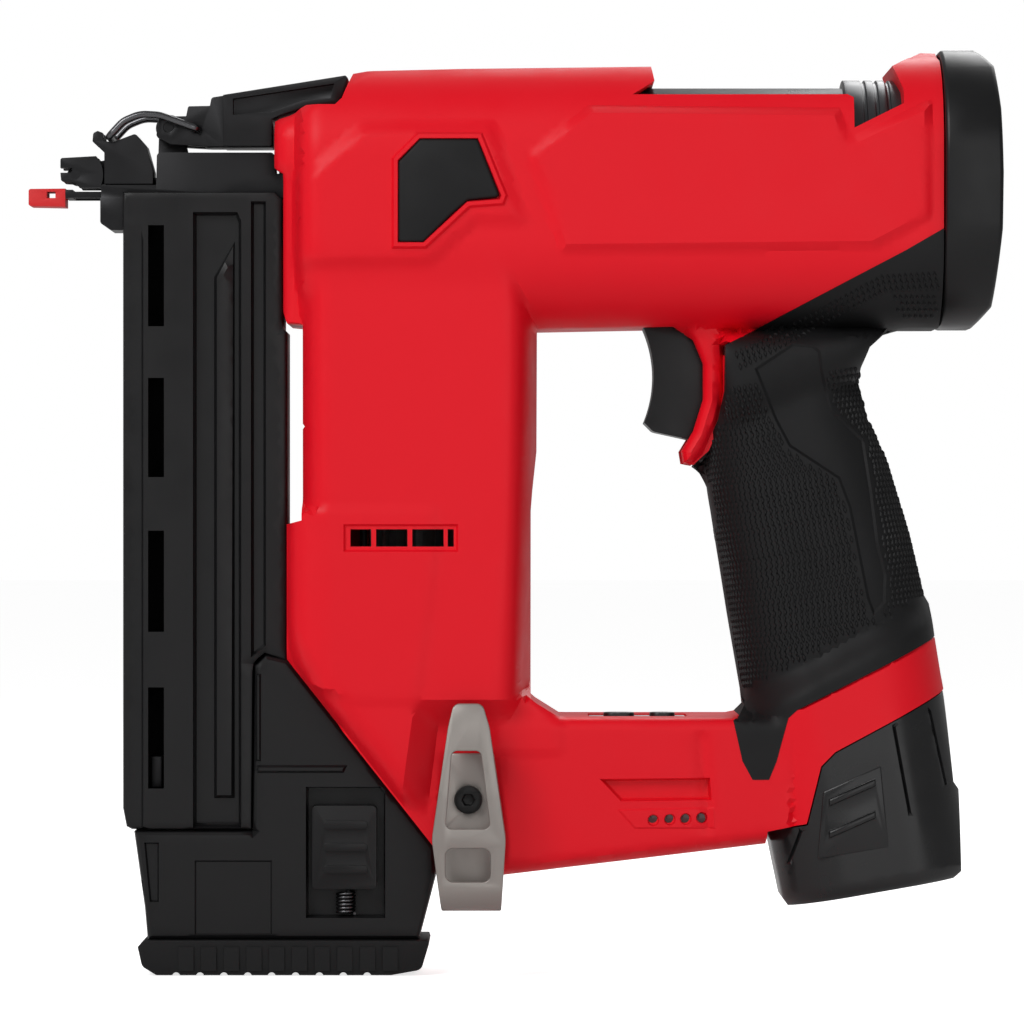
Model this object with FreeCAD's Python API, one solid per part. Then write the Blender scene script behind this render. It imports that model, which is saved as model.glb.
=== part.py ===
import FreeCAD, Part
import math
import os

# Cordless 18 gauge brad nailer, millimetres.
# Origin: the work contact's tip on the drive axis. +X runs back along the drive axis to the
# end cap, +Z is up and away from the magazine, -Y is the side that carries the belt hook.

V = FreeCAD.Vector

# ---- driving dimensions -------------------------------------------------------------------
WALL = 2.4            # moulded shell wall
GAP = 0.3             # clearance between neighbouring mouldings
FIT = 0.05            # radial running clearance of pins and shafts

NOSE_X = 62.7         # front face of the housing
TOWER_FRONT = 70.0    # front of the motor tower
TOWER_FOOT_X = 66.0   # front of its lower lip, against the magazine
TOWER_BACK = 127.0
BARREL_TOP = 31.5
BARREL_BOTTOM = -34.0
BARREL_END = 230.0    # where the rear cap starts
CAP_LENGTH = 14.4
BARREL_HALF = 31.0    # half widths across Y
TOWER_HALF = 29.5
FOOT_HALF = 23.0
CAP_HALF = 34.0
CAP_TOP = 36.3
FOOT_TOP = -132.0
DIAGONAL_TOP = -117.0     # where the tower's front edge starts to lean back
FOOT_CORNER = (103.0, -164.0)
FOOT_END_X = 186.5

MAG_FRONT = 24.0
MAG_BACK = 64.5
MAG_HALF = 11.0
MAG_WALL = 2.4
COVER_TOP = 0.6
COVER_BOTTOM = -160.3
BASE_BOTTOM = -188.0
SOLE_BOTTOM = -196.7
SOLE_HALF = 15.0
BASE_HALF = 12.5

HANDLE_TILT = 10.0        # degrees that the grip leans back
HANDLE_TOP = V(190.4, 0, -50.5)
GRIP_T = 1.3              # rubber sleeve
ROOT_HALF = 24.0
GUARD_HALF = 16.0
# distance down the grip, fore-aft centre, half length, half width
GRIP_STATIONS = [
    (-6.0, 0.0, 19.6, 19.5),
    (21.0, 0.5, 22.9, 20.5),
    (40.0, 1.8, 23.9, 21.2),
    (58.0, 2.2, 24.6, 21.5),
    (76.0, 2.4, 24.8, 21.5),
]
BATTERY_U = 2.2           # fore-aft centre of the battery in the grip's frame
COLLAR_A = 25.1
COLLAR_B = 25.5
STEM_A = 19.8
STEM_B = 18.4
STEM_R = 10.0
STEM_TOP = 50.0           # distance down the grip
STEM_END = 104.0
STEM_WALL = 1.2
BATTERY_BOTTOM = 127.3
CELL_R = 9.15
CELL_LENGTH = 65.0

CYL_R = 27.2              # gas cylinder
CYL_FLANGE_R = 29.2
CYL_WALL = 1.8
CYL_START = 119.0
CYL_END = 225.0
FLANGE_START = 206.0
BORE_R = 13.0             # drive cylinder
PLATE_T = 7.0             # front cylinder plate

NAIL_BACK = 62.5          # head end of the longest brad
BLADE_T = 1.2
BLADE_HALF = 2.1
BLADE_NOSE = 1.1      # half width where it enters the brad channel
PIN_COUNT = 8
PIN_PITCH = 6.9
STROKE = PIN_COUNT * PIN_PITCH
PIN_RING = STROKE / (2 * math.pi)
PIN_R = 1.0
TOOTH_REACH = 2.2
TOOTH_WIDTH = 2.6
LIFTER_X = 98.0
LIFTER_Y = BLADE_HALF + 0.2 + PIN_R + PIN_RING
BUMPER_T = 8.0
PISTON_T = 12.0
PISTON_X = CYL_START + 1.0 + STROKE + 1.0

MODULE = 0.6
SUN_TEETH = 12
PLANET_TEETH = 15
RING_TEETH = SUN_TEETH + 2 * PLANET_TEETH
GEAR_LOW = -36.5
GEAR_HIGH = -29.5
CASE_R = 15.2
CASE_WALL = 0.9
CASE_TOP = -16.0
STATOR_R = 14.3
STATOR_BORE = 9.2
ROTOR_R = 8.6
MOTOR_HIGH = -44.0
MOTOR_LOW = -80.0
SHAFT_R = 2.5
FAN_R = 12.5
FAN_LOW = -92.0
FAN_HIGH = -83.5

LEVER_AXIS = (35.5, 17.0)
BAIL_AXIS = (43.0, 16.5)
BAIL_REST = (20.6, 14.5)
DOOR_AXIS = (12.0, 5.0)
NOSE_HALF = 6.4
WALLS_X = 19.0        # front of the brad channel's side walls
FORK_R = 7.0          # the fork's back is round the door's axis
WIRE_R = 0.9
LEG_Y = 8.4
PIVOT_R = 1.25
CONTACT_TRAVEL = 7.0
TIP_LENGTH = 10.5

HOOK_X = 111.5
HOOK_Z = -152.0
HOOK_THREAD_R = 1.65
INSERT_R = 2.8
HOOK_STAND = 12.0
HOOK_T = 1.8
SCREW_R = 1.5
BOSS_R = 4.6
HEAD_R = 3.1

LAMP_R = 1.3
TRIGGER_HALF = 9.0
TRIGGER_TRAVEL = 5.0
BUTTON_TRAVEL = 0.8
LATCH_TRAVEL = 5.0
PUSHER_TRAVEL = 130.0
TAB_TRAVEL = 1.5

os.makedirs("parts", exist_ok=True)
radians = math.radians
UP = V(0, 0, 1)
ACROSS = V(0, 1, 0)
BACK = V(1, 0, 0)


# ---- shape helpers ------------------------------------------------------------------------
def rounded(points, place):
    """Closed wire through (a, b[, radius]) corners; place turns a, b into a 3-D point."""
    edges = []
    starts = []
    ends = []
    mids = []
    count = len(points)
    for i, point in enumerate(points):
        here = V(point[0], point[1], 0)
        radius = point[2] if len(point) > 2 else 0
        before = V(*points[i - 1][:2], 0)
        after = V(*points[(i + 1) % count][:2], 0)
        if radius == 0:
            starts.append(here)
            mids.append(None)
            ends.append(here)
            continue
        to_before = (before - here).normalize()
        to_after = (after - here).normalize()
        half = to_before.getAngle(to_after) / 2
        reach = radius / math.tan(half)
        inward = (to_before + to_after).normalize()
        starts.append(here + to_before * reach)
        mids.append(here + inward * (radius / math.sin(half) - radius))
        ends.append(here + to_after * reach)
    for i in range(count):
        if mids[i] is not None:
            arc = [place(p.x, p.y) for p in (starts[i], mids[i], ends[i])]
            edges.append(Part.Arc(*arc).toShape())
        a = ends[i]
        b = starts[(i + 1) % count]
        if a.distanceToPoint(b) > 1e-6:
            edges.append(Part.LineSegment(place(a.x, a.y), place(b.x, b.y)).toShape())
    return Part.Wire(edges)


def plate(points, y0, y1):
    """Side outline in X, Z, extruded across Y."""
    wire = rounded(points, lambda a, b: V(a, y0, b))
    return Part.Face(wire).extrude(V(0, y1 - y0, 0))


def inset_plate(points, inset, half):
    """The side outline moved inwards, centred across Y."""
    wire = rounded(points, lambda a, b: V(a, -half, b)).makeOffset2D(-inset, 2)
    return Part.Face(wire).extrude(V(0, 2 * half, 0))


def bar(points, x0, x1):
    """Cross-section in Y, Z, extruded along X."""
    wire = rounded(points, lambda a, b: V(x0, a, b))
    return Part.Face(wire).extrude(V(x1 - x0, 0, 0))


def post(points, z0, z1):
    """Plan outline in X, Y, extruded along Z."""
    wire = rounded(points, lambda a, b: V(a, b, z0))
    return Part.Face(wire).extrude(V(0, 0, z1 - z0))


def block(x0, x1, y0, y1, z0, z1):
    return Part.makeBox(x1 - x0, y1 - y0, z1 - z0, V(x0, y0, z0))


def disc(radius, centre, axis, length):
    return Part.makeCylinder(radius, length, centre, axis)


def ring(outer, inner, centre, axis, length):
    return disc(outer, centre, axis, length).cut(disc(inner, centre, axis, length))


def across(radius, x, z, y0, y1):
    return disc(radius, V(x, y0, z), ACROSS, y1 - y0)


def rectangle(a0, a1, b0, b1, radius=0):
    return [(a0, b0, radius), (a1, b0, radius), (a1, b1, radius), (a0, b1, radius)]


def fuse(shapes):
    first = shapes[0]
    rest = shapes[1:]
    return first.multiFuse(rest).removeSplitter() if rest else first


def bent_wire(corners, radius):
    """Round wire through (point, bend radius) corners; the two ends have no bend."""
    edges = []
    start = corners[0][0]
    for i in range(1, len(corners) - 1):
        here, bend = corners[i]
        to_before = (corners[i - 1][0] - here).normalize()
        to_after = (corners[i + 1][0] - here).normalize()
        half = to_before.getAngle(to_after) / 2
        reach = bend / math.tan(half)
        inward = (to_before + to_after).normalize()
        first = here + to_before * reach
        middle = here + inward * (bend / math.sin(half) - bend)
        last = here + to_after * reach
        edges.append(Part.LineSegment(start, first).toShape())
        edges.append(Part.Arc(first, middle, last).toShape())
        start = last
    edges.append(Part.LineSegment(start, corners[-1][0]).toShape())
    profile = Part.Wire(Part.makeCircle(radius, corners[0][0], corners[1][0] - corners[0][0]))
    return Part.Wire(edges).makePipeShell([profile], True, False)


def coil(radius, wire, pitch, length, centre, axis):
    """Helical compression spring."""
    helix = Part.makeHelix(pitch, length, radius)
    slope = V(0, 2 * math.pi * radius, pitch)
    profile = Part.Wire(Part.makeCircle(wire, V(radius, 0, 0), slope))
    sweep = Part.Wire(helix).makePipeShell([profile], True, True)
    sweep.Placement = FreeCAD.Placement(centre, FreeCAD.Rotation(UP, axis))
    return sweep


GRIP = FreeCAD.Placement(HANDLE_TOP, FreeCAD.Rotation(ACROSS, -HANDLE_TILT))
GRIP_DOWN = GRIP.Rotation.multVec(V(0, 0, -1))


def in_grip(shape):
    """Moves a shape from the grip's own frame (Z up the grip) to the tool's."""
    moved = shape.copy()
    moved.transformShape(GRIP.toMatrix())
    return moved


def grip_prism(u, a, b, radius, low, high):
    """Rounded rectangle about the grip's axis, between two distances down the grip."""
    outline = rectangle(u - a, u + a, -b, b, radius)
    return in_grip(post(outline, -low, -high))


def grip_loft(inset):
    wires = []
    for distance, u, a, b in GRIP_STATIONS:
        outline = rectangle(u - a + inset, u + a - inset, inset - b, b - inset, b * 0.8 - inset)
        level = -distance
        wires.append(rounded(outline, lambda p, q: V(p, q, level)))
    return in_grip(Part.makeLoft(wires, True, True))


def cut_below(shape, start, end, keep_above=True):
    """Cuts by the plane through two X, Z points, along Y, and keeps one side."""
    a = V(start[0], 0, start[1])
    b = V(end[0], 0, end[1])
    along = (b - a).normalize()
    side = V(-along.z, 0, along.x) * (1 if keep_above else -1)
    big = 400
    corner = a - along * big
    points = [corner, corner + along * 2 * big, corner + along * 2 * big - side * big, corner - side * big]
    wire = Part.makePolygon([p - ACROSS * big for p in points + points[:1]])
    return shape.cut(Part.Face(wire).extrude(V(0, 2 * big, 0)))


def export(node, shape):
    """Writes one node, as its closed solids."""
    solids = shape.Solids
    whole = solids[0] if len(solids) == 1 else Part.makeCompound(solids)
    whole.exportStep("parts/%s.step" % node)


# ---- housing ------------------------------------------------------------------------------
SHELF_Z = 24.0        # top edge of the shell beside the gas cylinder
BARREL = [
    (NOSE_X + 2.6, BARREL_BOTTOM + 2, 2), (NOSE_X + 2.3, 5), (NOSE_X, 6.5), (NOSE_X, 18, 0.5),
    (71, 21.3), (78.3, 21.3), (82.6, BARREL_TOP - 1.8), (88, BARREL_TOP),
    (157.5, BARREL_TOP), (158, 27.5), (152.5, SHELF_Z), (207.5, SHELF_Z, 1),
    (207.5, 15.3), (220, 21.5), (217.5, 32), (226, CAP_TOP - 0.3), (BARREL_END, CAP_TOP - 0.3),
    (BARREL_END, BARREL_BOTTOM), (110, BARREL_BOTTOM),
]
TOWER = [
    (TOWER_FRONT, 0), (TOWER_FRONT, -82.5), (TOWER_FOOT_X, -83.5), (TOWER_FOOT_X, DIAGONAL_TOP),
    (79, FOOT_TOP - 1.5), (TOWER_BACK, FOOT_TOP - 1.5), (TOWER_BACK, -79, 20),
    (TOWER_BACK + 1.7, -66, 20), (TOWER_BACK + 1.7, 0),
]
FOOT = [
    (76.2, -130), FOOT_CORNER, (106.3, -173, 2), (FOOT_END_X, -163.4),
    (FOOT_END_X, FOOT_TOP), (TOWER_BACK + 7, FOOT_TOP, 2), (TOWER_BACK, FOOT_TOP + 5),
    (TOWER_BACK, FOOT_TOP + 10), (76.2, FOOT_TOP + 10),
]
COLLAR = [
    (176, FOOT_TOP - 1), (181.5, -128), (229.0, -112), (233, -124.2), (203, -140, 2),
    (199.4, -144, 2), (196, -158), (FOOT_END_X - 0.5, -160), (178, -160),
]
ROOT = [
    (172, -46), (175.7, -38.7), (BARREL_END, -10), (BARREL_END, BARREL_BOTTOM),
    (223, BARREL_BOTTOM, 9), (211, -38.5, 5), (209.3, -50, 5), (209, -62), (174, -62),
]
SLEEVE = [
    (174.5, -39.6), (178, -38.5), (BARREL_END, -10.4), (BARREL_END, -60), (236, -100), (229, -112.5), (181.5, -128.4),
    (180, -131), (165, -131), (165, -69.2), (167, -69.5), (171, -64), (175.5, -50),
]
SCREW_SITES = [
    (75.5, -60, TOWER_HALF), (121.5, -46, TOWER_HALF), (121.5, -104, TOWER_HALF),
    (76, -110, TOWER_HALF), (76.5, 13.5, BARREL_HALF - 1), (103, 20, BARREL_HALF - 4),
    (140, -158, FOOT_HALF), (173, -141, FOOT_HALF), (182, -154, FOOT_HALF),
]
GUARD = [
    (160, -33.5), (166, -36, 3), (169.2, -40, 4), (170.5, -46, 6), (170.2, -53, 6), (168, -60, 6),
    (164.6, -65.6, 1.4), (166.6, -69.2, 1.2), (170.8, -66), (174, -58), (178, -50), (178, -33.5),
]
TRIGGER = [
    (151.5, -33.2, 1), (155.5, -39, 6), (157.6, -48, 8), (155, -57, 2), (158, -60, 2),
    (168, -62.2, 2), (176, -55), (176, -40), (167, -33.2),
]


def barrel_section(inset, half=BARREL_HALF, low=BARREL_BOTTOM, high=BARREL_TOP, radius=23.0):
    outline = rectangle(inset - half, half - inset, low + inset, high - inset, radius - inset)
    return outline


def body(inset):
    """The body's outside, or its inside when inset by the wall, as one solid."""
    def side(points, half):
        return inset_plate(points, inset, half) if inset else plate(points, -half, half)

    main = barrel_section(inset)
    rear = barrel_section(inset, CAP_HALF - 1.5, BARREL_BOTTOM, CAP_TOP - 0.3, 27.0)
    front = bar(main, NOSE_X + inset, 212)
    back = bar(rear, 205, BARREL_END - inset)
    barrel = side(BARREL, CAP_HALF).common(fuse([front, back]))
    plan = rectangle(TOWER_FOOT_X + inset, TOWER_BACK + 1.7 - inset, inset - TOWER_HALF, TOWER_HALF - inset, 8 - inset)
    tower = side(TOWER, TOWER_HALF).common(post(plan, -150, 0))
    foot_bar = rectangle(inset - FOOT_HALF, FOOT_HALF - inset, -180, FOOT_TOP + 20, 4)
    foot = side(FOOT, FOOT_HALF).common(bar(foot_bar, TOWER_FOOT_X, FOOT_END_X + 8))
    return fuse([barrel, tower, foot])


def handle_mass(inset):
    """Grip and its flared root, as one solid."""
    root = inset_plate(ROOT, inset, ROOT_HALF - inset) if inset else plate(ROOT, -ROOT_HALF, ROOT_HALF)
    return fuse([grip_loft(inset), root])


def collar_mass(inset):
    outline = inset_plate(COLLAR, inset, COLLAR_B) if inset else plate(COLLAR, -COLLAR_B, COLLAR_B)
    return outline.common(grip_prism(BATTERY_U, COLLAR_A + 10 - inset, COLLAR_B - inset, 18, 45, 130))


def trigger_bay():
    """Room for the trigger along its whole travel."""
    rest = inset_plate(TRIGGER, -GAP, TRIGGER_HALF + GAP)
    found = []
    for share in (0, 0.25, 0.5, 0.75, 1):
        step = rest.copy()
        step.translate(in_direction(TRIGGER_TRAVEL * share))
        found.append(step)
    return fuse(found)


def guard():
    """Cheeks of the shell on either side of the trigger."""
    return plate(GUARD, -GUARD_HALF, GUARD_HALF)


def in_direction(distance):
    """Along the trigger's travel, square to the grip."""
    return GRIP.Rotation.multVec(V(1, 0, 0)) * distance


def housing():
    outside = fuse([body(0), handle_mass(GRIP_T), collar_mass(0), guard()])
    hollow = fuse([body(WALL), handle_mass(GRIP_T + WALL)])
    bosses = []
    for x, z, half in SCREW_SITES:
        bosses.append(across(BOSS_R, x, z, -half, half))
    bosses.append(across(BOSS_R + 1, HOOK_X, HOOK_Z, -FOOT_HALF, FOOT_HALF))
    bosses = fuse(bosses).common(outside)
    shell = fuse([outside.cut(hollow), bosses]).cut(grip_sleeve())
    tools = []
    tools.append(disc(CYL_R + GAP, V(CYL_START - PLATE_T - 1, 0, 0), BACK, FLANGE_START - CYL_START + PLATE_T + 1))
    tools.append(disc(CYL_FLANGE_R + GAP, V(FLANGE_START - GAP, 0, 0), BACK, BARREL_END - FLANGE_START - WALL + GAP))
    tools.append(block(NOSE_X - 6, TOWER_FRONT + 6, -12.5, 12.5, -4, 11.4))
    tools.append(grip_prism(BATTERY_U, STEM_A + GAP, STEM_B + GAP, STEM_R, STEM_TOP - 6, 140))
    tools.append(trigger_bay())
    tools.append(disc(CASE_R + GAP, V(LIFTER_X, LIFTER_Y, FAN_LOW - 8), UP, 88))
    tools.append(disc(PIN_RING + 3, V(LIFTER_X, LIFTER_Y, -12), UP, 20))
    for x, z, half in SCREW_SITES:
        tools.append(across(SCREW_R + FIT, x, z, 2 - half, half))
        tools.append(across(HEAD_R + GAP, x, z, half - 5, half + 8))
    for side in (-1, 1):
        y0 = side * FOOT_HALF - (0 if side < 0 else 9)
        tools.append(across(INSERT_R, HOOK_X, HOOK_Z, y0, y0 + 9))
    tools.append(vent_slot())
    tools.append(block(PANEL[0] - GAP, PANEL[1] + GAP, -PANEL_HALF - GAP, PANEL_HALF + GAP, FOOT_TOP - 1.6, FOOT_TOP + 1))
    for x in BUTTONS_X:
        tools.append(block(x - 4.6, x + 4.6, -4.2, 4.2, FOOT_TOP - 5, FOOT_TOP))
    tools.append(plate(GRILLE, -FOOT_HALF - 1, 1.4 - FOOT_HALF))
    tools.append(block(148, 170.5, -FOOT_HALF - 1, 6 - FOOT_HALF, -148.3, -147.2))
    for x in LAMPS_X:
        tools.append(across(LAMP_R, x, LAMP_Z, -FOOT_HALF - 1, WALL + 1 - FOOT_HALF))
    shell = shell.cut(tools)
    left = shell.common(block(0, 300, -60, 0, -250, 100))
    right = shell.common(block(0, 300, 0, 60, -250, 100))
    return left, right


LAMP_Z = -156.8
LAMPS_X = (157.5, 161.5, 165.5, 169.5)
PANEL = (142.0, 166.5)
PANEL_HALF = 9.0
BUTTONS_X = (149.5, 160.5)
GRILLE = [(146.5, -147), (171.5, -147, 1), (171.5, -152.5, 1), (150, -152.5)]
VENT = (82.0, 107.5, -89.2, -84.6)


def vent_slot():
    """Motor air vents through both side walls."""
    x0, x1, z0, z1 = VENT
    slot = block(x0, x1, -TOWER_HALF - 1, TOWER_HALF + 1, z0, z1)
    bars = []
    for share in (0.25, 0.58, 0.9):
        x = x0 + (x1 - x0) * share
        for side in (-1, 1):
            mid = side * (TOWER_HALF - WALL / 2 - 0.4)
            bars.append(block(x - 0.6, x + 0.6, mid - 0.8, mid + 0.8, z0 - 1, z1 + 1))
    return slot.cut(bars)


def grip_sleeve():
    """Rubber skin over the grip and the lower rear of the barrel."""
    skin = fuse([body(0), handle_mass(0)]).cut(fuse([body(GRIP_T), handle_mass(GRIP_T)]))
    skin = skin.common(plate(SLEEVE, -60, 60)).cut([collar_mass(0), trigger_bay(), guard()])
    return max(skin.Solids, key=lambda s: s.Volume)


def end_cap():
    x0 = BARREL_END
    x1 = BARREL_END + CAP_LENGTH
    outline = [
        (x0, BARREL_BOTTOM), (x1 - 6, BARREL_BOTTOM, 1), (x1 - 2, BARREL_BOTTOM + 5, 1), (x1 - 0.2, -10),
        (x1, 4), (x1 - 0.4, 20), (x1 - 1.4, CAP_TOP - 5, 1), (x1 - 5.4, CAP_TOP, 1), (x0, CAP_TOP),
    ]
    section = barrel_section(0, CAP_HALF, BARREL_BOTTOM, CAP_TOP, 28.0)
    outside = plate(outline, -CAP_HALF, CAP_HALF).common(bar(section, x0, x1))
    inner = barrel_section(WALL, CAP_HALF, BARREL_BOTTOM, CAP_TOP, 28.0)
    return outside.cut(bar(inner, x0, x1 - 5))


def side_pads():
    """Rubber rest pads, one on each side of the gear chamber."""
    outline = [
        (94.0, -13.5), (94.0, 6.6), (99.5, 12.4), (114, 12.4), (119.6, -2.2, 1), (111.5, -3), (107.5, -6.5), (100.5, -13.5),
    ]
    y = BARREL_HALF
    return Part.makeCompound([plate(outline, -y - 2.0, -y), plate(outline, y, y + 2.0)])


def housing_screws():
    """Thread-forming screws, all driven from the +Y side."""
    found = []
    for x, z, half in SCREW_SITES:
        head = across(HEAD_R, x, z, half - 5, half - 2.2)
        shank = across(SCREW_R, x, z, 6 - half, half - 5)
        socket = bar_hex(x, z, half - 4, half)
        found.append(head.fuse(shank).cut(socket))
    return Part.makeCompound(found)


def bar_hex(x, z, y0, y1, size=1.6):
    corners = [(x + size * math.cos(k * math.pi / 3), z + size * math.sin(k * math.pi / 3)) for k in range(6)]
    return plate(corners, y0, y1)


def control_panel():
    x0, x1 = PANEL
    face = block(x0, x1, -PANEL_HALF, PANEL_HALF, FOOT_TOP - 1.6, FOOT_TOP - 0.2)
    holes = [block(x - 4.2, x + 4.2, -3.8, 3.8, FOOT_TOP - 3, FOOT_TOP + 1) for x in BUTTONS_X]
    return face.cut(holes)


def panel_button(x, half_length):
    cap = post(rectangle(x - half_length, x + half_length, -3.4, 3.4, 2.5), FOOT_TOP - 2.6, FOOT_TOP + 0.9)
    return cap


def charge_lamps():
    return Part.makeCompound([across(LAMP_R - 0.05, x, LAMP_Z, 0.5 - FOOT_HALF, WALL + 1 - FOOT_HALF) for x in LAMPS_X])


def hook_outline(low, high):
    """Outline of the hook's outer leg: widest a third of the way up."""
    return [
        (HOOK_X - 6.6, low), (HOOK_X - 9.0, low + 18, 12), (HOOK_X - 5.0, high - 6, 8), (HOOK_X - 3.6, high, 2),
        (HOOK_X + 3.6, high, 2), (HOOK_X + 5.4, high - 6, 8), (HOOK_X + 9.4, low + 18, 12), (HOOK_X + 8.2, low),
    ]


HOOK_LOW = -179.5
HOOK_HIGH = -127.8


def belt_hook():
    """Bent strip: inner leg screwed to the foot, bend at the bottom, windowed outer leg."""
    y_in = -FOOT_HALF
    y_out = y_in - HOOK_STAND
    radius = HOOK_STAND / 2
    bend_z = HOOK_LOW + radius
    inner_leg = block(HOOK_X - 12, HOOK_X + 12, y_in - HOOK_T, y_in, bend_z, -140.5)
    bend = ring(radius, radius - HOOK_T, V(HOOK_X - 12, y_in - radius, bend_z), BACK, 24)
    bend = bend.common(block(HOOK_X - 12, HOOK_X + 12, y_out, y_in, HOOK_LOW, bend_z))
    profile = [
        (y_out, bend_z), (y_out - 1.5, -150, 20), (y_out + 1.5, HOOK_HIGH), (y_out + 1.5 + HOOK_T, HOOK_HIGH),
        (y_out - 1.5 + HOOK_T, -150, 20), (y_out + HOOK_T, bend_z),
    ]
    outer_leg = bar(profile, HOOK_X - 12, HOOK_X + 12)
    strip = fuse([inner_leg, bend, outer_leg]).common(plate(hook_outline(HOOK_LOW, HOOK_HIGH), -60, 0))
    y_cut = y_out + 4
    upper = [(HOOK_X - 5.6, -158.8, 1.5), (HOOK_X - 4, -139.5, 1.5), (HOOK_X + 3.2, -139.5, 1.5), (HOOK_X + 5.6, -158.8, 1.5)]
    lower = rectangle(HOOK_X - 5.6, HOOK_X + 5.6, -172, -163.6, 2)
    strip = strip.cut([plate(upper, -60, y_cut), plate(lower, -60, y_cut)])
    return strip.cut(across(2.2, HOOK_X, HOOK_Z, -60, 0))


def hook_screw():
    y = -FOOT_HALF - HOOK_T
    head = across(3.5, HOOK_X, HOOK_Z, y - 2.6, y)
    shank = across(HOOK_THREAD_R - FIT, HOOK_X, HOOK_Z, y, 8 - FOOT_HALF)
    return head.fuse(shank).cut(bar_hex(HOOK_X, HOOK_Z, y - 4, y - 1))


def hook_inserts():
    found = []
    for y0 in (-FOOT_HALF, FOOT_HALF - 9):
        found.append(across(INSERT_R, HOOK_X, HOOK_Z, y0, y0 + 9).cut(across(HOOK_THREAD_R, HOOK_X, HOOK_Z, y0, y0 + 9)))
    return Part.makeCompound(found)


# ---- drive --------------------------------------------------------------------------------
def gas_cylinder():
    tank = disc(CYL_R, V(CYL_START, 0, 0), BACK, FLANGE_START - CYL_START)
    flange = disc(CYL_FLANGE_R, V(FLANGE_START, 0, 0), BACK, CYL_END - FLANGE_START)
    inside = disc(CYL_R - CYL_WALL, V(CYL_START, 0, 0), BACK, CYL_END - CYL_START - 4)
    ribs = [ring(CYL_FLANGE_R + 1, CYL_FLANGE_R - 0.6, V(x, 0, 0), BACK, 0.9) for x in (210.5, 213.5, 216.5)]
    return fuse([tank, flange]).cut([inside] + ribs)


def cylinder_plate():
    start = CYL_START - PLATE_T
    body_disc = disc(CYL_R - 0.4, V(start, 0, 0), BACK, PLATE_T)
    seat = disc(BORE_R + 1, V(CYL_START - BUMPER_T + 3, 0, 0), BACK, BUMPER_T)
    gearbox = disc(CASE_R + GAP, V(LIFTER_X, LIFTER_Y, -40), UP, 40 + CASE_TOP + GAP)
    return body_disc.cut([seat, gearbox, disc(6.5, V(start, 0, 0), BACK, PLATE_T)])


def bumper():
    start = CYL_START - BUMPER_T + 3
    return ring(BORE_R - 0.5, 5.8, V(start, 0, 0), BACK, BUMPER_T - 3)


def drive_cylinder():
    tube = ring(BORE_R + 1.6, BORE_R, V(CYL_START, 0, 0), BACK, 72)
    lip = ring(CYL_R - CYL_WALL - GAP, BORE_R, V(CYL_START, 0, 0), BACK, 3)
    return fuse([tube, lip])


def piston():
    head = disc(BORE_R - FIT, V(PISTON_X, 0, 0), BACK, PISTON_T)
    groove = ring(BORE_R + 1, BORE_R - 1.6, V(PISTON_X + 4, 0, 0), BACK, 2.4)
    slot = block(PISTON_X, PISTON_X + 5, -BLADE_HALF - FIT, BLADE_HALF + FIT, -BLADE_T / 2 - FIT, BLADE_T / 2 + FIT)
    return head.cut([groove, slot])


def piston_seal():
    return ring(BORE_R - FIT, BORE_R - 1.55, V(PISTON_X + 4.1, 0, 0), BACK, 2.2)


def driver_blade():
    """Flat blade; the lifter's pins run in the gaps between its side teeth."""
    strip = block(NAIL_BACK + 26, PISTON_X + 4.9, -BLADE_HALF, BLADE_HALF, -BLADE_T / 2, BLADE_T / 2)
    nose = block(NAIL_BACK, NAIL_BACK + 27, -BLADE_NOSE, BLADE_NOSE, -BLADE_T / 2, BLADE_T / 2)
    teeth = []
    for k in range(PIN_COUNT + 2):
        x = LIFTER_X + (k - 0.5) * PIN_PITCH
        tip = TOOTH_WIDTH * 0.36
        outline = [
            (x - TOOTH_WIDTH / 2, BLADE_HALF - 0.5), (x + TOOTH_WIDTH / 2, BLADE_HALF - 0.5),
            (x + tip, BLADE_HALF + TOOTH_REACH), (x - tip, BLADE_HALF + TOOTH_REACH),
        ]
        teeth.append(post(outline, -BLADE_T / 2, BLADE_T / 2))
    return fuse([strip, nose] + teeth)


def lifter_wheel():
    """Two flanges on the gearbox's output shaft, with the planet carrier at its foot."""
    centre = V(LIFTER_X, LIFTER_Y, 0)
    low = disc(PIN_RING + 1.7, centre + UP * -3.4, UP, 2.0)
    high = disc(PIN_RING + 1.7, centre + UP * 1.4, UP, 1.8)
    hub = disc(5.0, centre + UP * -3.4, UP, 6.6)
    shaft = disc(4.0, centre + UP * (GEAR_HIGH + 1.2), UP, -3.4 - GEAR_HIGH - 1.2)
    carrier = disc(PLANET_RING + 3.0, centre + UP * (GEAR_HIGH + 0.5), UP, 3.5)
    pins = []
    for k in range(3):
        pins.append(disc(1.2, planet_centre(k) + UP * GEAR_LOW, UP, GEAR_HIGH - GEAR_LOW + 1))
    return fuse([low, high, hub, shaft, carrier] + pins)


def lifter_pins():
    found = []
    for k in range(PIN_COUNT):
        angle = -math.pi / 2 + 2 * math.pi * k / PIN_COUNT
        centre = V(LIFTER_X + PIN_RING * math.cos(angle), LIFTER_Y + PIN_RING * math.sin(angle), -1.4)
        found.append(disc(PIN_R, centre, UP, 2.8))
    return Part.makeCompound(found)


# ---- gearbox and motor --------------------------------------------------------------------
PLANET_RING = MODULE * (SUN_TEETH + PLANET_TEETH) / 2


def planet_centre(k):
    angle = 2 * math.pi * k / 3
    return V(LIFTER_X + PLANET_RING * math.cos(angle), LIFTER_Y + PLANET_RING * math.sin(angle), 0)


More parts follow.
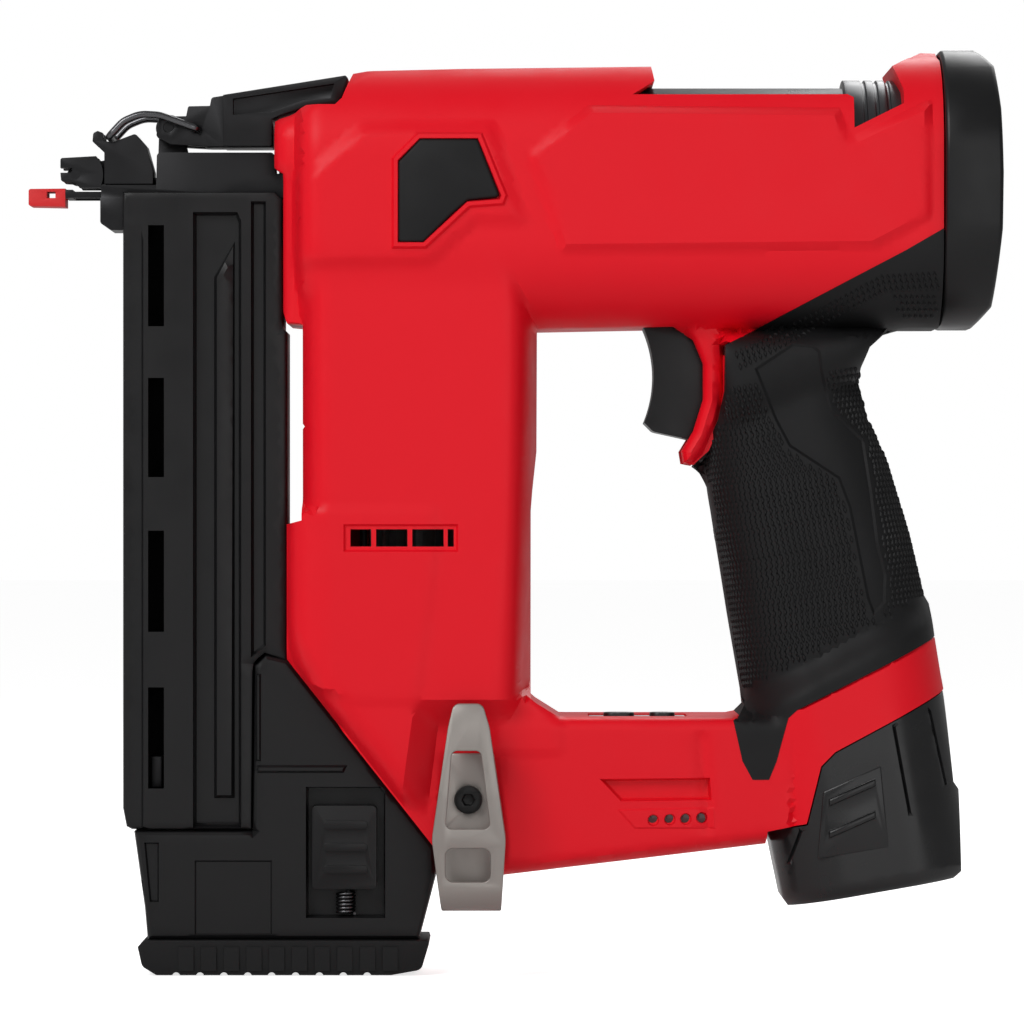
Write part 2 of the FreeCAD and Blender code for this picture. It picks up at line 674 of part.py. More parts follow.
def toothed(teeth, first, inner=False):
    """Plan outline of a spur gear about 0, 0, with one tooth centred at the angle first."""
    pitch_r = MODULE * teeth / 2
    root = pitch_r + MODULE * 1.15 if inner else pitch_r - MODULE * 1.15
    tip = pitch_r - MODULE * 0.85 if inner else pitch_r + MODULE * 0.85
    step = 2 * math.pi / teeth
    points = []
    for k in range(teeth):
        angle = first + k * step
        for share, radius in ((-0.33, root), (-0.13, tip), (0.13, tip), (0.33, root)):
            points.append((radius * math.cos(angle + share * step), radius * math.sin(angle + share * step)))
    return points


def gear(teeth, first, centre, bore_r):
    solid = post(toothed(teeth, first), GEAR_LOW, GEAR_HIGH).cut(disc(bore_r, V(0, 0, GEAR_LOW), UP, 20))
    solid.translate(centre)
    return solid


def planet_gear(k):
    """A tooth gap faces the sun's tooth, on each planet's own radius."""
    turn = 2 * math.pi * k / 3
    return gear(PLANET_TEETH, turn, planet_centre(k), 1.2 + FIT)


def sun_gear():
    return gear(SUN_TEETH, 0, V(LIFTER_X, LIFTER_Y, 0), SHAFT_R)


def ring_gear():
    hole = post(toothed(RING_TEETH, math.pi / RING_TEETH, inner=True), GEAR_LOW, GEAR_HIGH)
    solid = disc(CASE_R - CASE_WALL, V(0, 0, GEAR_LOW), UP, GEAR_HIGH - GEAR_LOW).cut(hole)
    solid.translate(V(LIFTER_X, LIFTER_Y, 0))
    return solid


def gear_case():
    axis = V(LIFTER_X, LIFTER_Y, 0)
    outer = disc(CASE_R, axis + UP * (GEAR_LOW - 3), UP, CASE_TOP - GEAR_LOW + 3)
    inner = disc(CASE_R - CASE_WALL, axis + UP * GEAR_LOW, UP, CASE_TOP - 3 - GEAR_LOW)
    top_hole = disc(4.0 + FIT, axis + UP * (CASE_TOP - 4), UP, 6)
    low_hole = disc(SHAFT_R + 2, axis + UP * (GEAR_LOW - 4), UP, 6)
    return outer.cut([inner, top_hole, low_hole])


def motor_shaft():
    return disc(SHAFT_R, V(LIFTER_X, LIFTER_Y, FAN_LOW - 5), UP, GEAR_HIGH - FAN_LOW + 5)


def rotor():
    start = MOTOR_LOW + 2
    return ring(ROTOR_R, SHAFT_R, V(LIFTER_X, LIFTER_Y, start), UP, MOTOR_HIGH - MOTOR_LOW - 4)


def stator():
    axis = V(LIFTER_X, LIFTER_Y, MOTOR_LOW)
    length = MOTOR_HIGH - MOTOR_LOW
    iron = ring(STATOR_R, STATOR_BORE, axis, UP, length)
    slots = []
    for k in range(6):
        angle = k * 60
        slot = block(STATOR_BORE - 1, STATOR_R - 2, -1.6, 1.6, MOTOR_LOW, MOTOR_HIGH)
        slot.rotate(V(0, 0, 0), UP, angle)
        slot.translate(V(LIFTER_X, LIFTER_Y, 0))
        slots.append(slot)
    return iron.cut(slots)


def motor_fan():
    axis = V(LIFTER_X, LIFTER_Y, FAN_LOW)
    hub = ring(5, SHAFT_R, axis, UP, FAN_HIGH - FAN_LOW)
    back = ring(FAN_R, SHAFT_R, axis, UP, 1.4)
    blades = []
    for k in range(11):
        blade = block(4, FAN_R, -0.5, 0.5, FAN_LOW, FAN_HIGH)
        blade.rotate(V(0, 0, 0), UP, k * 360 / 11)
        blade.translate(V(LIFTER_X, LIFTER_Y, 0))
        blades.append(blade)
    return fuse([hub, back] + blades)


def motor_bearings():
    """Front and rear ball bearings, held by the gear case and by a web in the shell."""
    bore = SHAFT_R + FIT
    front = ring(6.5, bore, V(LIFTER_X, LIFTER_Y, MOTOR_HIGH + 0.6), UP, GEAR_LOW - 3 - MOTOR_HIGH - 0.6)
    rear = ring(6.5, bore, V(LIFTER_X, LIFTER_Y, FAN_LOW - 5), UP, 4)
    return Part.makeCompound([front, rear])


def motor_mount():
    """Tube that carries the stator under the gear case and the rear bearing."""
    axis = V(LIFTER_X, LIFTER_Y, 0)
    shell = ring(CASE_R, STATOR_R + FIT, axis + UP * (FAN_LOW - 7), UP, GEAR_LOW - 3 - FAN_LOW + 7)
    floor = ring(STATOR_R + 0.2, 6.5, axis + UP * (FAN_LOW - 7), UP, 5.5)
    slots = []
    for k in range(4):
        slot = block(-5, 5, -20, 20, FAN_LOW + 0.5, FAN_HIGH + 0.5)
        slot.rotate(V(0, 0, 0), UP, 45 * k)
        slot.translate(V(LIFTER_X, LIFTER_Y, 0))
        slots.append(slot)
    return fuse([shell, floor]).cut(slots)


# ---- nose ---------------------------------------------------------------------------------
def nose_frame():
    """Fork and drive channel in front, channel roof and lever lug behind."""
    half = NOSE_HALF
    x, z = DOOR_AXIS
    fork_side = [
        (8.2, 9.2, 0.6), (8.2, 6.7), (11.2, 6.7), (11.2, 5.5), (8.2, 5.5), (8.4, 3.3, 0.6),
        (12, 3.1), (13, 1.7), (WALLS_X, 1.7), (WALLS_X, 9.8),
    ]
    swing = fuse([across(FORK_R, x, z, -half, half), block(x, WALLS_X, -half, half, 1.6, 2.4)])
    fork = plate(fork_side, -half, half).common(swing).cut(block(7, 20, -3.2, 3.2, 1.5, 12))
    wall_low = -0.9
    walls = [block(WALLS_X - 0.5, 32.4, s * 5.7 - 0.7, s * 5.7 + 0.7, wall_low, 2.4) for s in (-1, 1)]
    chin = plate([(18.4, -7.3, 1), (21, -9.1), (28.4, -9.1), (28.4, wall_low), (18.4, wall_low)], -8, 8)
    chin = chin.cut(block(23.5, 29, -0.9, 0.9, -10, 0))
    roof = plate([(32.4, 1.2), (NAIL_BACK + 9, 1.2), (NAIL_BACK + 9, 4.9), (62.5, 5.3), (62.3, 10.6, 1), (32.6, 10.6, 1)], -half, half)
    cheeks = [block(32.4, NAIL_BACK + 9, s * 5.7 - 0.7, s * 5.7 + 0.7, wall_low, 1.4) for s in (-1, 1)]
    lug = fuse([
        plate([(32.7, 9.5), (40.5, 9.5), (LEVER_AXIS[0] + 3.4, 16), (LEVER_AXIS[0] - 2.6, 16)], -2.4, 2.4),
        across(3.4, LEVER_AXIS[0], LEVER_AXIS[1], -2.4, 2.4),
    ])
    seat = block(56, 58.5, half - 1, 11.6, 1.2, 6.0).cut(disc(1.3, V(50, SPRING_Y, SPRING_Z), BACK, 12))
    flange = block(NAIL_BACK + 4, NAIL_BACK + 9, -12, 12, wall_low, 4.5).cut(block(60, 80, -5, 5, -2, 1.2))
    spine = block(NAIL_BACK + 4, CYL_START - PLATE_T, -8, -BLADE_HALF - GAP, -3.5, 4.5)
    parts = [fork, chin, roof, lug, seat, flange, spine] + walls + cheeks
    pins = [across(PIVOT_R, *LEVER_AXIS, -20, 20), across(PIVOT_R, *DOOR_AXIS, -20, 20)]
    return fuse(parts).cut(pins)


SPRING_Y = 9.2
SPRING_Z = 3.6


def nose_pins():
    return Part.makeCompound([
        across(PIVOT_R, *LEVER_AXIS, -NOSE_HALF, NOSE_HALF),
        across(PIVOT_R, *DOOR_AXIS, -NOSE_HALF, NOSE_HALF),
    ])


def nose_door():
    """Jam door: hinged in the fork, with the hooks that the wire bail pulls on."""
    outline = [
        (19.3, 2.7), (19.3, 10.6), (16.3, 13.4, 0.6), (16.5, 15.5, 0.6), (17.6, 16.1, 0.5), (18.9, 15.6),
        (19.1, 13.5, 0.5), (21.6, 13.3), (27.2, 15.4, 1), (29.8, 12.4), (31.6, 6.0), (31.6, 2.7),
    ]
    half = NOSE_HALF
    tongue_half = 3.0
    arm = plate([(12, 2.7), (20, 2.7), (20, 9.0), (12, 7.4)], -tongue_half, tongue_half)
    knuckle = across(2.4, *DOOR_AXIS, -tongue_half, tongue_half)
    lip = block(19.5, 31.4, -4.7, 4.7, 0.9, 3)
    slot = block(15, 20.5, -2.5, 2.5, 11.2, 18)
    whole = fuse([plate(outline, -half, half), arm, knuckle, lip])
    return whole.cut([across(PIVOT_R + FIT, *DOOR_AXIS, -20, 20), slot])


def latch_lever():
    outline = [
        (32.4, 14.6, 1), (33.2, 19.7, 1), (40, 19.8), (40.5, 22.3, 0.5), (46, 22.4), (46.4, 24.5, 0.8),
        (80.4, 29.9, 0.5), (81.0, 29.2), (79.7, 25.2), (78.6, 23.3), (77, 22.4), (71, 22.2),
        (63.6, 19.7), (61.8, 18.9), (61.8, 12.1, 0.5), (46, 12.1), (36, 12.7, 2),
    ]
    whole = plate(outline, -9, 9)
    sides = [block(30, 49.5, s * 9 - (9 - NOSE_HALF), s * 9 + (9 - NOSE_HALF), 8, 40) for s in (-1, 1)]
    slot = block(30, 44.5, -2.75, 2.75, 8, 40)
    hollow = [plate([(52, 24), (77.5, 27.8), (76.5, 24.2), (70, 23.8), (62, 20.8), (52, 20)], s * 8.6 - 2.2, s * 8.6 + 2.2) for s in (-1, 1)]
    holes = [across(PIVOT_R + FIT, *LEVER_AXIS, -20, 20), across(WIRE_R + FIT, *BAIL_AXIS, -20, 20)]
    return whole.cut(sides + [slot] + hollow + holes)


def wire_bail():
    """Spring wire loop: ends turned into the lever, crossbar behind the door's hooks."""
    side = [(BAIL_AXIS, 1.6), ((33.5, 19.9), 8), ((28.5, 20.2), 8), ((24.2, 18.4), 6), (BAIL_REST, 1.6)]
    near = [(V(x, -LEG_Y, z), bend) for (x, z), bend in side]
    far = [(V(x, LEG_Y, z), bend) for (x, z), bend in reversed(side)]
    first = (V(BAIL_AXIS[0], -4.2, BAIL_AXIS[1]), 0)
    last = (V(BAIL_AXIS[0], 4.2, BAIL_AXIS[1]), 0)
    return bent_wire([first] + near + far + [last], WIRE_R)


def work_contact():
    """Front plate that carries the pad, a short arm in the channel, a long arm beside it."""
    nail_way = block(5, 16, -1.4, 1.4, -1.1, 1.1)
    front = block(TIP_LENGTH - 1.2, TIP_LENGTH + 0.7, -4.6, 8.3, -0.8, 1.3)
    inner_arm = block(TIP_LENGTH, 30, -4.6, -3.3, -0.8, 0.8)
    outer_arm = block(TIP_LENGTH, 24, 6.9, 8.3, -0.8, 1.3)
    riser = plate([(20, -0.8), (24, -0.8), (30, 2.2), (46, 2.2), (46, 5.0), (28, 5.0)], 6.9, 8.3)
    post_block = block(42, 46, 6.9, SPRING_Y + 1.6, 2.2, 5.0)
    guide = disc(1.2, V(45, SPRING_Y, SPRING_Z), BACK, 14)
    return fuse([front, inner_arm, outer_arm, riser, post_block, guide]).cut(nail_way)


def contact_tip():
    """Non-marring pad pushed onto the contact's front plate."""
    back = TIP_LENGTH - 1.2
    outline = [(0, -2.8, 0.6), (0, 1.5, 0.6), (back, 1.6), (back, -3.0)]
    pad = plate(outline, -4.6, 4.6)
    window = block(4.6, 6.8, -6, 6, -0.8, 0.8)
    return pad.cut([window, block(-1, 12, -1.4, 1.4, -1.1, 1.1)])


def contact_spring():
    return coil(1.9, 0.35, 1.7, 9.0, V(46.4, SPRING_Y, SPRING_Z), BACK)


# ---- magazine -----------------------------------------------------------------------------
WINDOWS = [(-33, -8.5), (-71, -46.5), (-110, -84.5), (-150, -125)]


def magazine_rail():
    """Fixed track on the +Y side of the brads, with a lip behind their heads."""
    y0 = 0.8
    y1 = MAG_HALF - MAG_WALL - 0.8
    track = block(MAG_FRONT + 4.7, NAIL_BACK + 1.5, y0, y1, -153, -1.0)
    hollow = block(MAG_FRONT + 7, NAIL_BACK - 4, y0 + 1.6, y1 + 1, -154, -6)
    lip = block(NAIL_BACK + 0.2, NAIL_BACK + 1.5, -3, y1, -153, -1.0)
    lug = block(NAIL_BACK + 1, TOWER_FOOT_X, -3, 3, DIAGONAL_TOP + 4, -86)
    return fuse([track.cut(hollow), lip, lug])


def magazine_cover():
    """Sliding channel that closes the other side, with windows and a long side groove."""
    outline = [
        (MAG_FRONT, -9.4), (28.6, -9.4), (28.6, COVER_TOP), (MAG_BACK, COVER_TOP), (MAG_BACK, -116),
        (57, -116), (57, COVER_BOTTOM), (25.3, COVER_BOTTOM), (MAG_FRONT, -155),
    ]
    outer = plate(outline, -MAG_HALF, MAG_HALF)
    inner_y = MAG_HALF - MAG_WALL
    cavity = block(MAG_FRONT + 2.6, MAG_BACK + 1, -inner_y, inner_y, COVER_BOTTOM - 1, COVER_TOP + 1)
    rib = block(37, 57, -inner_y - 0.5, -0.9, COVER_BOTTOM, -1.2)
    windows = [plate(rectangle(30.7, 34.6, low, high, 1.2), -MAG_HALF - 1, 0) for low, high in WINDOWS]
    groove = plate(rectangle(42.6, 54, -166, -5), -MAG_HALF - 1, 1.6 - MAG_HALF)
    step = block(28.6, 36, -MAG_HALF - 1, 0.8 - MAG_HALF, COVER_BOTTOM - 1, 2)
    return fuse([outer.cut(cavity), rib]).cut(windows + [groove, step])


LATCH_POCKET = (70.5, 90.5, -182.5, -149.5)
BASE = [
    (27, COVER_BOTTOM - GAP), (29.9, -180), (30.6, BASE_BOTTOM), (99, BASE_BOTTOM), (103.6, -172),
    (102.4, -164.8), (66, -118.2), (57.4, -116.6), (57.4, COVER_BOTTOM - GAP),
]


def magazine_base():
    outer = plate(BASE, -BASE_HALF, BASE_HALF)
    hollow = inset_plate(BASE, WALL, BASE_HALF - WALL)
    x0, x1, z0, z1 = LATCH_POCKET
    floor_y = 6 - BASE_HALF
    walls = block(x0 - 1.5, x1 + 1.5, -BASE_HALF, floor_y + 1.5, z0 - 1.5, z1 + 1.5).common(outer)
    pocket = block(x0, x1, -BASE_HALF - 1, floor_y, z0, z1)
    relief = plate([(59, -119), (66, -119.5), (86, -145.5), (59, -145.5)], -BASE_HALF - 1, 0.8 - BASE_HALF)
    seat = block(57, MAG_BACK + GAP, 1 - MAG_HALF, MAG_HALF - 1, -156, -110)
    return fuse([outer.cut(hollow), walls]).cut([pocket, relief, seat])


def magazine_sole():
    """Rubber foot: flat tread with cross grooves and a heel bevelled to the grip's tilt."""
    heel = 92.0
    rise = math.tan(radians(HANDLE_TILT))
    outline = [
        (30, BASE_BOTTOM), (28.3, BASE_BOTTOM - 1.6), (29.4, -194.5, 2), (33, SOLE_BOTTOM, 1),
        (heel, SOLE_BOTTOM), (99.6, SOLE_BOTTOM + 7.6 * rise, 2), (101.5, BASE_BOTTOM - 1), (101.2, BASE_BOTTOM),
    ]
    tread = plate(outline, -SOLE_HALF, SOLE_HALF)
    grooves = [across(1.0, x, SOLE_BOTTOM - 0.3, -SOLE_HALF - 1, SOLE_HALF + 1) for x in range(38, 92, 6)]
    return tread.cut(grooves)


def magazine_latch():
    """Release slide in the base's side pocket, with three finger ribs."""
    x0, x1, z0, z1 = LATCH_POCKET
    y_floor = 6 - BASE_HALF
    body_block = plate(rectangle(x0 + 1.6, x1 - 2.2, -175.2, -154.2, 1.2), -BASE_HALF - 0.4, y_floor - GAP)
    ribs = [plate(rectangle(x0 + 4.5, x1 - 4.5, z - 1, z + 1, 0.9), -BASE_HALF - 1.3, -BASE_HALF) for z in (-159, -164.6, -170.2)]
    return fuse([body_block] + ribs)


def latch_spring():
    return coil(2.2, 0.35, 0.9, 5.6, V(80.5, 3 - BASE_HALF, -181.6), UP)


def nail_pusher():
    """Follower blade in the brad slot, with the finger that shows in the windows."""
    blade = block(MAG_FRONT + 4, NAIL_BACK - 0.4, -0.6, 0.6, -152, -142)
    finger = plate([(31.2, -150), (34.0, -150), (34.0, -142), (31.2, -142)], -7.4, -0.6)
    return fuse([blade, finger])


def pusher_spring():
    """Constant-force spring: a rolled strip that hangs in the rail's hollow."""
    roll = ring(4.0, 2.6, V(46, 2.6, -147), ACROSS, 4)
    tail = block(50 - 0.2, 50, 2.6, 6.6, -147, -12)
    return roll.fuse(tail)


# ---- trigger and electrics ----------------------------------------------------------------
def trigger():
    face = plate(TRIGGER, -TRIGGER_HALF, TRIGGER_HALF)
    flat = in_grip(block(-40, 15, -30, 30, -40, 40))
    groove = across(30, 128.2, -46, -30, 30)
    return face.cut(groove).common(flat)


def trigger_switch():
    case = block(183, 200, -8, 8, -64, -48)
    ears = block(188, 194, -15.8, 15.8, -58, -54)
    return fuse([case, ears])


def trigger_spring():
    start = HANDLE_TOP + in_direction(-13.2) + GRIP_DOWN * 2.0
    return coil(2.4, 0.35, 1.1, 5.2, start, in_direction(1))


def control_board():
    edge = FOOT_HALF - WALL - GAP
    board = block(134, 166, -edge, edge, -143, -141.4)
    parts = [block(138, 150, -12, 12, -146, -143), block(154, 160, -8, 8, -147, -143)]
    stands = [block(x - 1.5, x + 1.5, -3, 3, -141.4, FOOT_TOP - 3.8) for x in BUTTONS_X]
    return fuse([board] + parts + stands)


def terminal_block():
    """Contacts that the battery's stem slides up to."""
    flange = grip_prism(BATTERY_U, STEM_A - 0.6, STEM_B - 1.0, STEM_R + 3, STEM_TOP - 4.5, STEM_TOP - 1)
    return fuse([flange, grip_prism(BATTERY_U, 9, 11, 3, STEM_TOP - 14, STEM_TOP - 1)])


# ---- battery ------------------------------------------------------------------------------
def battery_case():
    """Lower cup, shaped to the housing's collar, on which the tool also stands."""
    rise = math.tan(radians(HANDLE_TILT))
    base_z = SOLE_BOTTOM + (191.5 - 92.0) * rise
    outline = [
        (FOOT_END_X, -160.4), (196.3, -158.4), (199.8, -144.4, 2), (203.2, -140.5, 2), (233.4, -124.6),
        (236, -148), (235.4, base_z + (235.4 - 191.5) * rise, 2), (191.0, base_z - 0.5 * rise, 2),
    ]
    prism = plate(outline, -COLLAR_B, COLLAR_B)
    outside = prism.common(grip_prism(BATTERY_U, COLLAR_A - 0.2, COLLAR_B - 0.4, 19, 70, 140))
    stem_way = grip_prism(BATTERY_U, STEM_A + GAP, STEM_B + GAP, STEM_R, 60, STEM_END)
    inside = grip_prism(BATTERY_U, COLLAR_A - WALL, COLLAR_B - WALL, 17, STEM_END + 2, BATTERY_BOTTOM - 2)
    inside = inside.common(inset_plate(outline, CASE_WALL + 0.7, COLLAR_B))
    neck = grip_prism(BATTERY_U, STEM_A - STEM_WALL, STEM_B - STEM_WALL, STEM_R - 1.5, STEM_END - 1, STEM_END + 8)
    pockets = [tab_pocket(side) for side in (-1, 1)]
    backing = [tab_backing(side).common(inside) for side in (-1, 1)]
    return fuse([outside.cut([stem_way, inside, neck])] + backing).cut(pockets)


def tab_outline(grow):
    return [(200 - grow, -150 + grow), (214.5 + grow, -143.5 + grow), (216.5 + grow, -164 - grow), (198.6 - grow, -167 - grow)]


def tab_pocket(side):
    y = side * (COLLAR_B - 0.4)
    deep = side * (COLLAR_B - 4.6)
    return plate(tab_outline(GAP), min(y + side * 2, deep), max(y + side * 2, deep))


def tab_backing(side):
    y0 = side * (COLLAR_B - 6.2)
    y1 = side * (COLLAR_B - 1)
    return plate(tab_outline(1.6), min(y0, y1), max(y0, y1))


def battery_tab(side):
    """Squeeze tab with two slanting finger ribs."""
    y0 = side * (COLLAR_B - 4.6 + TAB_TRAVEL + GAP)
    y1 = side * (COLLAR_B - 0.2)
    pad = plate(tab_outline(0), min(y0, y1), max(y0, y1))
    y2 = side * (COLLAR_B + 0.7)
    ribs = []
    for z in (-152.6, -160.6):
        ribs.append(plate([(201.5, z - 1), (213, z + 4), (213, z + 5.6), (201.5, z + 0.6)], min(y1, y2), max(y1, y2)))
    return fuse([pad] + ribs)


def battery_stem():
    outer = grip_prism(BATTERY_U, STEM_A, STEM_B, STEM_R, STEM_TOP, STEM_END)
    inner = grip_prism(BATTERY_U, STEM_A - STEM_WALL, STEM_B - STEM_WALL, STEM_R - STEM_WALL, STEM_TOP + 2, STEM_END + 1)
    return outer.cut(inner)


def battery_cells():
    found = []
    top = BATTERY_BOTTOM - 2.6 - CELL_LENGTH
    depth = CELL_R * math.sqrt(3)
    for u, y in ((-CELL_R, -depth / 2), (CELL_R, -depth / 2), (0, depth / 2)):
        cell = disc(CELL_R - 0.05, V(BATTERY_U + u, y, -top - CELL_LENGTH), UP, CELL_LENGTH)
        found.append(in_grip(cell))
    return Part.makeCompound(found)


# ---- build --------------------------------------------------------------------------------
def build():
    left, right = housing()
    export("housing_left", left)
    export("housing_right", right)
    export("grip_sleeve", grip_sleeve())
    export("end_cap", end_cap())
    export("side_pads", side_pads())
    export("housing_screws", housing_screws())
    export("control_panel", control_panel())
    export("mode_button", panel_button(BUTTONS_X[0], 3.9))
    export("light_button", panel_button(BUTTONS_X[1], 3.2))
    export("charge_lamps", charge_lamps())
    export("belt_hook", belt_hook())
    export("hook_screw", hook_screw())
    export("hook_inserts", hook_inserts())

    export("gas_cylinder", gas_cylinder())
    export("cylinder_plate", cylinder_plate())
    export("bumper", bumper())
    export("drive_cylinder", drive_cylinder())
    export("piston", piston())
    export("piston_seal", piston_seal())
    export("driver_blade", driver_blade())
    export("lifter_wheel", lifter_wheel())
    export("lifter_pins", lifter_pins())
    export("gear_case", gear_case())
    export("ring_gear", ring_gear())
    export("sun_gear", sun_gear())
    for k in range(3):
        export("planet_gear_%d" % (k + 1), planet_gear(k))
    export("motor_shaft", motor_shaft())
    export("rotor", rotor())
    export("stator", stator())
    export("motor_mount", motor_mount())
    export("motor_fan", motor_fan())
    export("motor_bearings", motor_bearings())

    export("nose_frame", nose_frame())
    export("nose_pins", nose_pins())
    export("nose_door", nose_door())
    export("latch_lever", latch_lever())
    export("wire_bail", wire_bail())
    export("work_contact", work_contact())
    export("contact_tip", contact_tip())
    export("contact_spring", contact_spring())

    export("magazine_rail", magazine_rail())
    export("magazine_cover", magazine_cover())
    export("magazine_base", magazine_base())
    export("magazine_sole", magazine_sole())
    export("magazine_latch", magazine_latch())
    export("latch_spring", latch_spring())
    export("nail_pusher", nail_pusher())
    export("pusher_spring", pusher_spring())

    export("trigger", trigger())
    export("trigger_switch", trigger_switch())
    export("trigger_spring", trigger_spring())
    export("control_board", control_board())
    export("terminal_block", terminal_block())

    export("battery_case", battery_case())
    export("battery_stem", battery_stem())
    export("battery_cells", battery_cells())
    export("battery_tab_left", battery_tab(-1))
    export("battery_tab_right", battery_tab(1))


build()
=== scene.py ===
import math

import bmesh
import bpy
import numpy as np
from mathutils import Euler, Matrix, Vector
from mathutils.geometry import delaunay_2d_cdt


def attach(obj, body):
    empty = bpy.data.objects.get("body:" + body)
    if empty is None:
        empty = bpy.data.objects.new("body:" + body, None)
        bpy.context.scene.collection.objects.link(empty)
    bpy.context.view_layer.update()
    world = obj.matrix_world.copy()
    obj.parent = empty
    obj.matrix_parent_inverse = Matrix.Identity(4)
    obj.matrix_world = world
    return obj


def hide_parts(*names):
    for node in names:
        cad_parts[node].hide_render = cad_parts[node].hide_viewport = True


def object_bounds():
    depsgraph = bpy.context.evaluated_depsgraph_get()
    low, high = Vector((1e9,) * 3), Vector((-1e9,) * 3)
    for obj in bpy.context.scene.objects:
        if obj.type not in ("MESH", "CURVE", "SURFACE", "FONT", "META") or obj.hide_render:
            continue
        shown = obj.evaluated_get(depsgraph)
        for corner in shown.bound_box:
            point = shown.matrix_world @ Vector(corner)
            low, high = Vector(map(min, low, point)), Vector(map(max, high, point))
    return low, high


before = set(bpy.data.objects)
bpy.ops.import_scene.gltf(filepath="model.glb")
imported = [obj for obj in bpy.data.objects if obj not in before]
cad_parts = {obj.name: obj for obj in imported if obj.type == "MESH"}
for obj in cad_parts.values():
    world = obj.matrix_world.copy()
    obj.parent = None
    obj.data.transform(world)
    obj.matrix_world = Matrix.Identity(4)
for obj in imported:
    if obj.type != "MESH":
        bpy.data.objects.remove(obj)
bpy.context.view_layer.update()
mm = 0.001
print("frame loaded:", len(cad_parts), "CAD nodes")

# Finishes. Colours are linear; grain is the size of the moulded texture in millimetres.
finishes = {
    "shell_red": dict(color=(0.75, 0.004, 0.014), rough=0.42, grain=0.5, bump=0.05, gloss=0.2),
    "rubber_black": dict(color=(0.0065, 0.0065, 0.007), rough=0.58, grain=0.4, bump=0.1, gloss=0.24),
    "plastic_black": dict(color=(0.006, 0.006, 0.0065), rough=0.36, grain=0.5, bump=0.06, gloss=0.28),
    "panel_grey": dict(color=(0.56, 0.57, 0.58), rough=0.45, grain=0.6, bump=0.03),
    "button_black": dict(color=(0.006, 0.006, 0.006), rough=0.4, grain=0.5, bump=0.05),
    "lamp_clear": dict(color=(0.06, 0.02, 0.02), rough=0.15, grain=1.0, bump=0.0),
    "hook_metal": dict(color=(0.30, 0.275, 0.255), rough=0.38, metal=0.55, grain=0.35, bump=0.08),
    "screw_black": dict(color=(0.012, 0.012, 0.012), rough=0.33, metal=0.5, grain=0.5, bump=0.03),
    "screw_steel": dict(color=(0.46, 0.46, 0.47), rough=0.3, metal=1.0, grain=0.5, bump=0.03),
    "insert_brass": dict(color=(0.66, 0.47, 0.2), rough=0.35, metal=1.0, grain=0.5, bump=0.03),
    "cylinder_grey": dict(color=(0.05, 0.052, 0.056), rough=0.3, metal=0.6, grain=0.8, bump=0.03),
    "aluminium_cast": dict(color=(0.5, 0.5, 0.51), rough=0.5, metal=1.0, grain=0.5, bump=0.15),
    "bumper_orange": dict(color=(0.7, 0.2, 0.02), rough=0.5, grain=1.0, bump=0.03),
    "seal_black": dict(color=(0.012, 0.012, 0.012), rough=0.5, grain=1.0, bump=0.02),
    "steel_hard": dict(color=(0.33, 0.33, 0.34), rough=0.3, metal=1.0, grain=0.5, bump=0.05),
    "steel_dark": dict(color=(0.02, 0.02, 0.021), rough=0.38, metal=0.8, grain=0.5, bump=0.06),
    "motor_steel": dict(color=(0.2, 0.2, 0.21), rough=0.4, metal=1.0, grain=0.5, bump=0.05),
    "case_grey": dict(color=(0.1, 0.1, 0.105), rough=0.5, grain=0.6, bump=0.05),
    "spring_steel": dict(color=(0.11, 0.11, 0.115), rough=0.28, metal=1.0, grain=0.5, bump=0.02),
    "tip_red": dict(color=(0.6, 0.01, 0.012), rough=0.5, grain=0.5, bump=0.06),
    "board_green": dict(color=(0.01, 0.12, 0.04), rough=0.4, grain=1.0, bump=0.02),
    "cell_blue": dict(color=(0.02, 0.09, 0.4), rough=0.4, grain=1.0, bump=0.01),
    "battery_grey": dict(color=(0.009, 0.009, 0.0095), rough=0.24, grain=0.6, bump=0.04),
    "clear_fan": dict(color=(0.3, 0.3, 0.3), rough=0.4, grain=1.0, bump=0.02),
}


smearSettings = dict(size=11, duller=0.07, glossier=0.06, least=0.08)
reliefDepth = 0.1 * mm


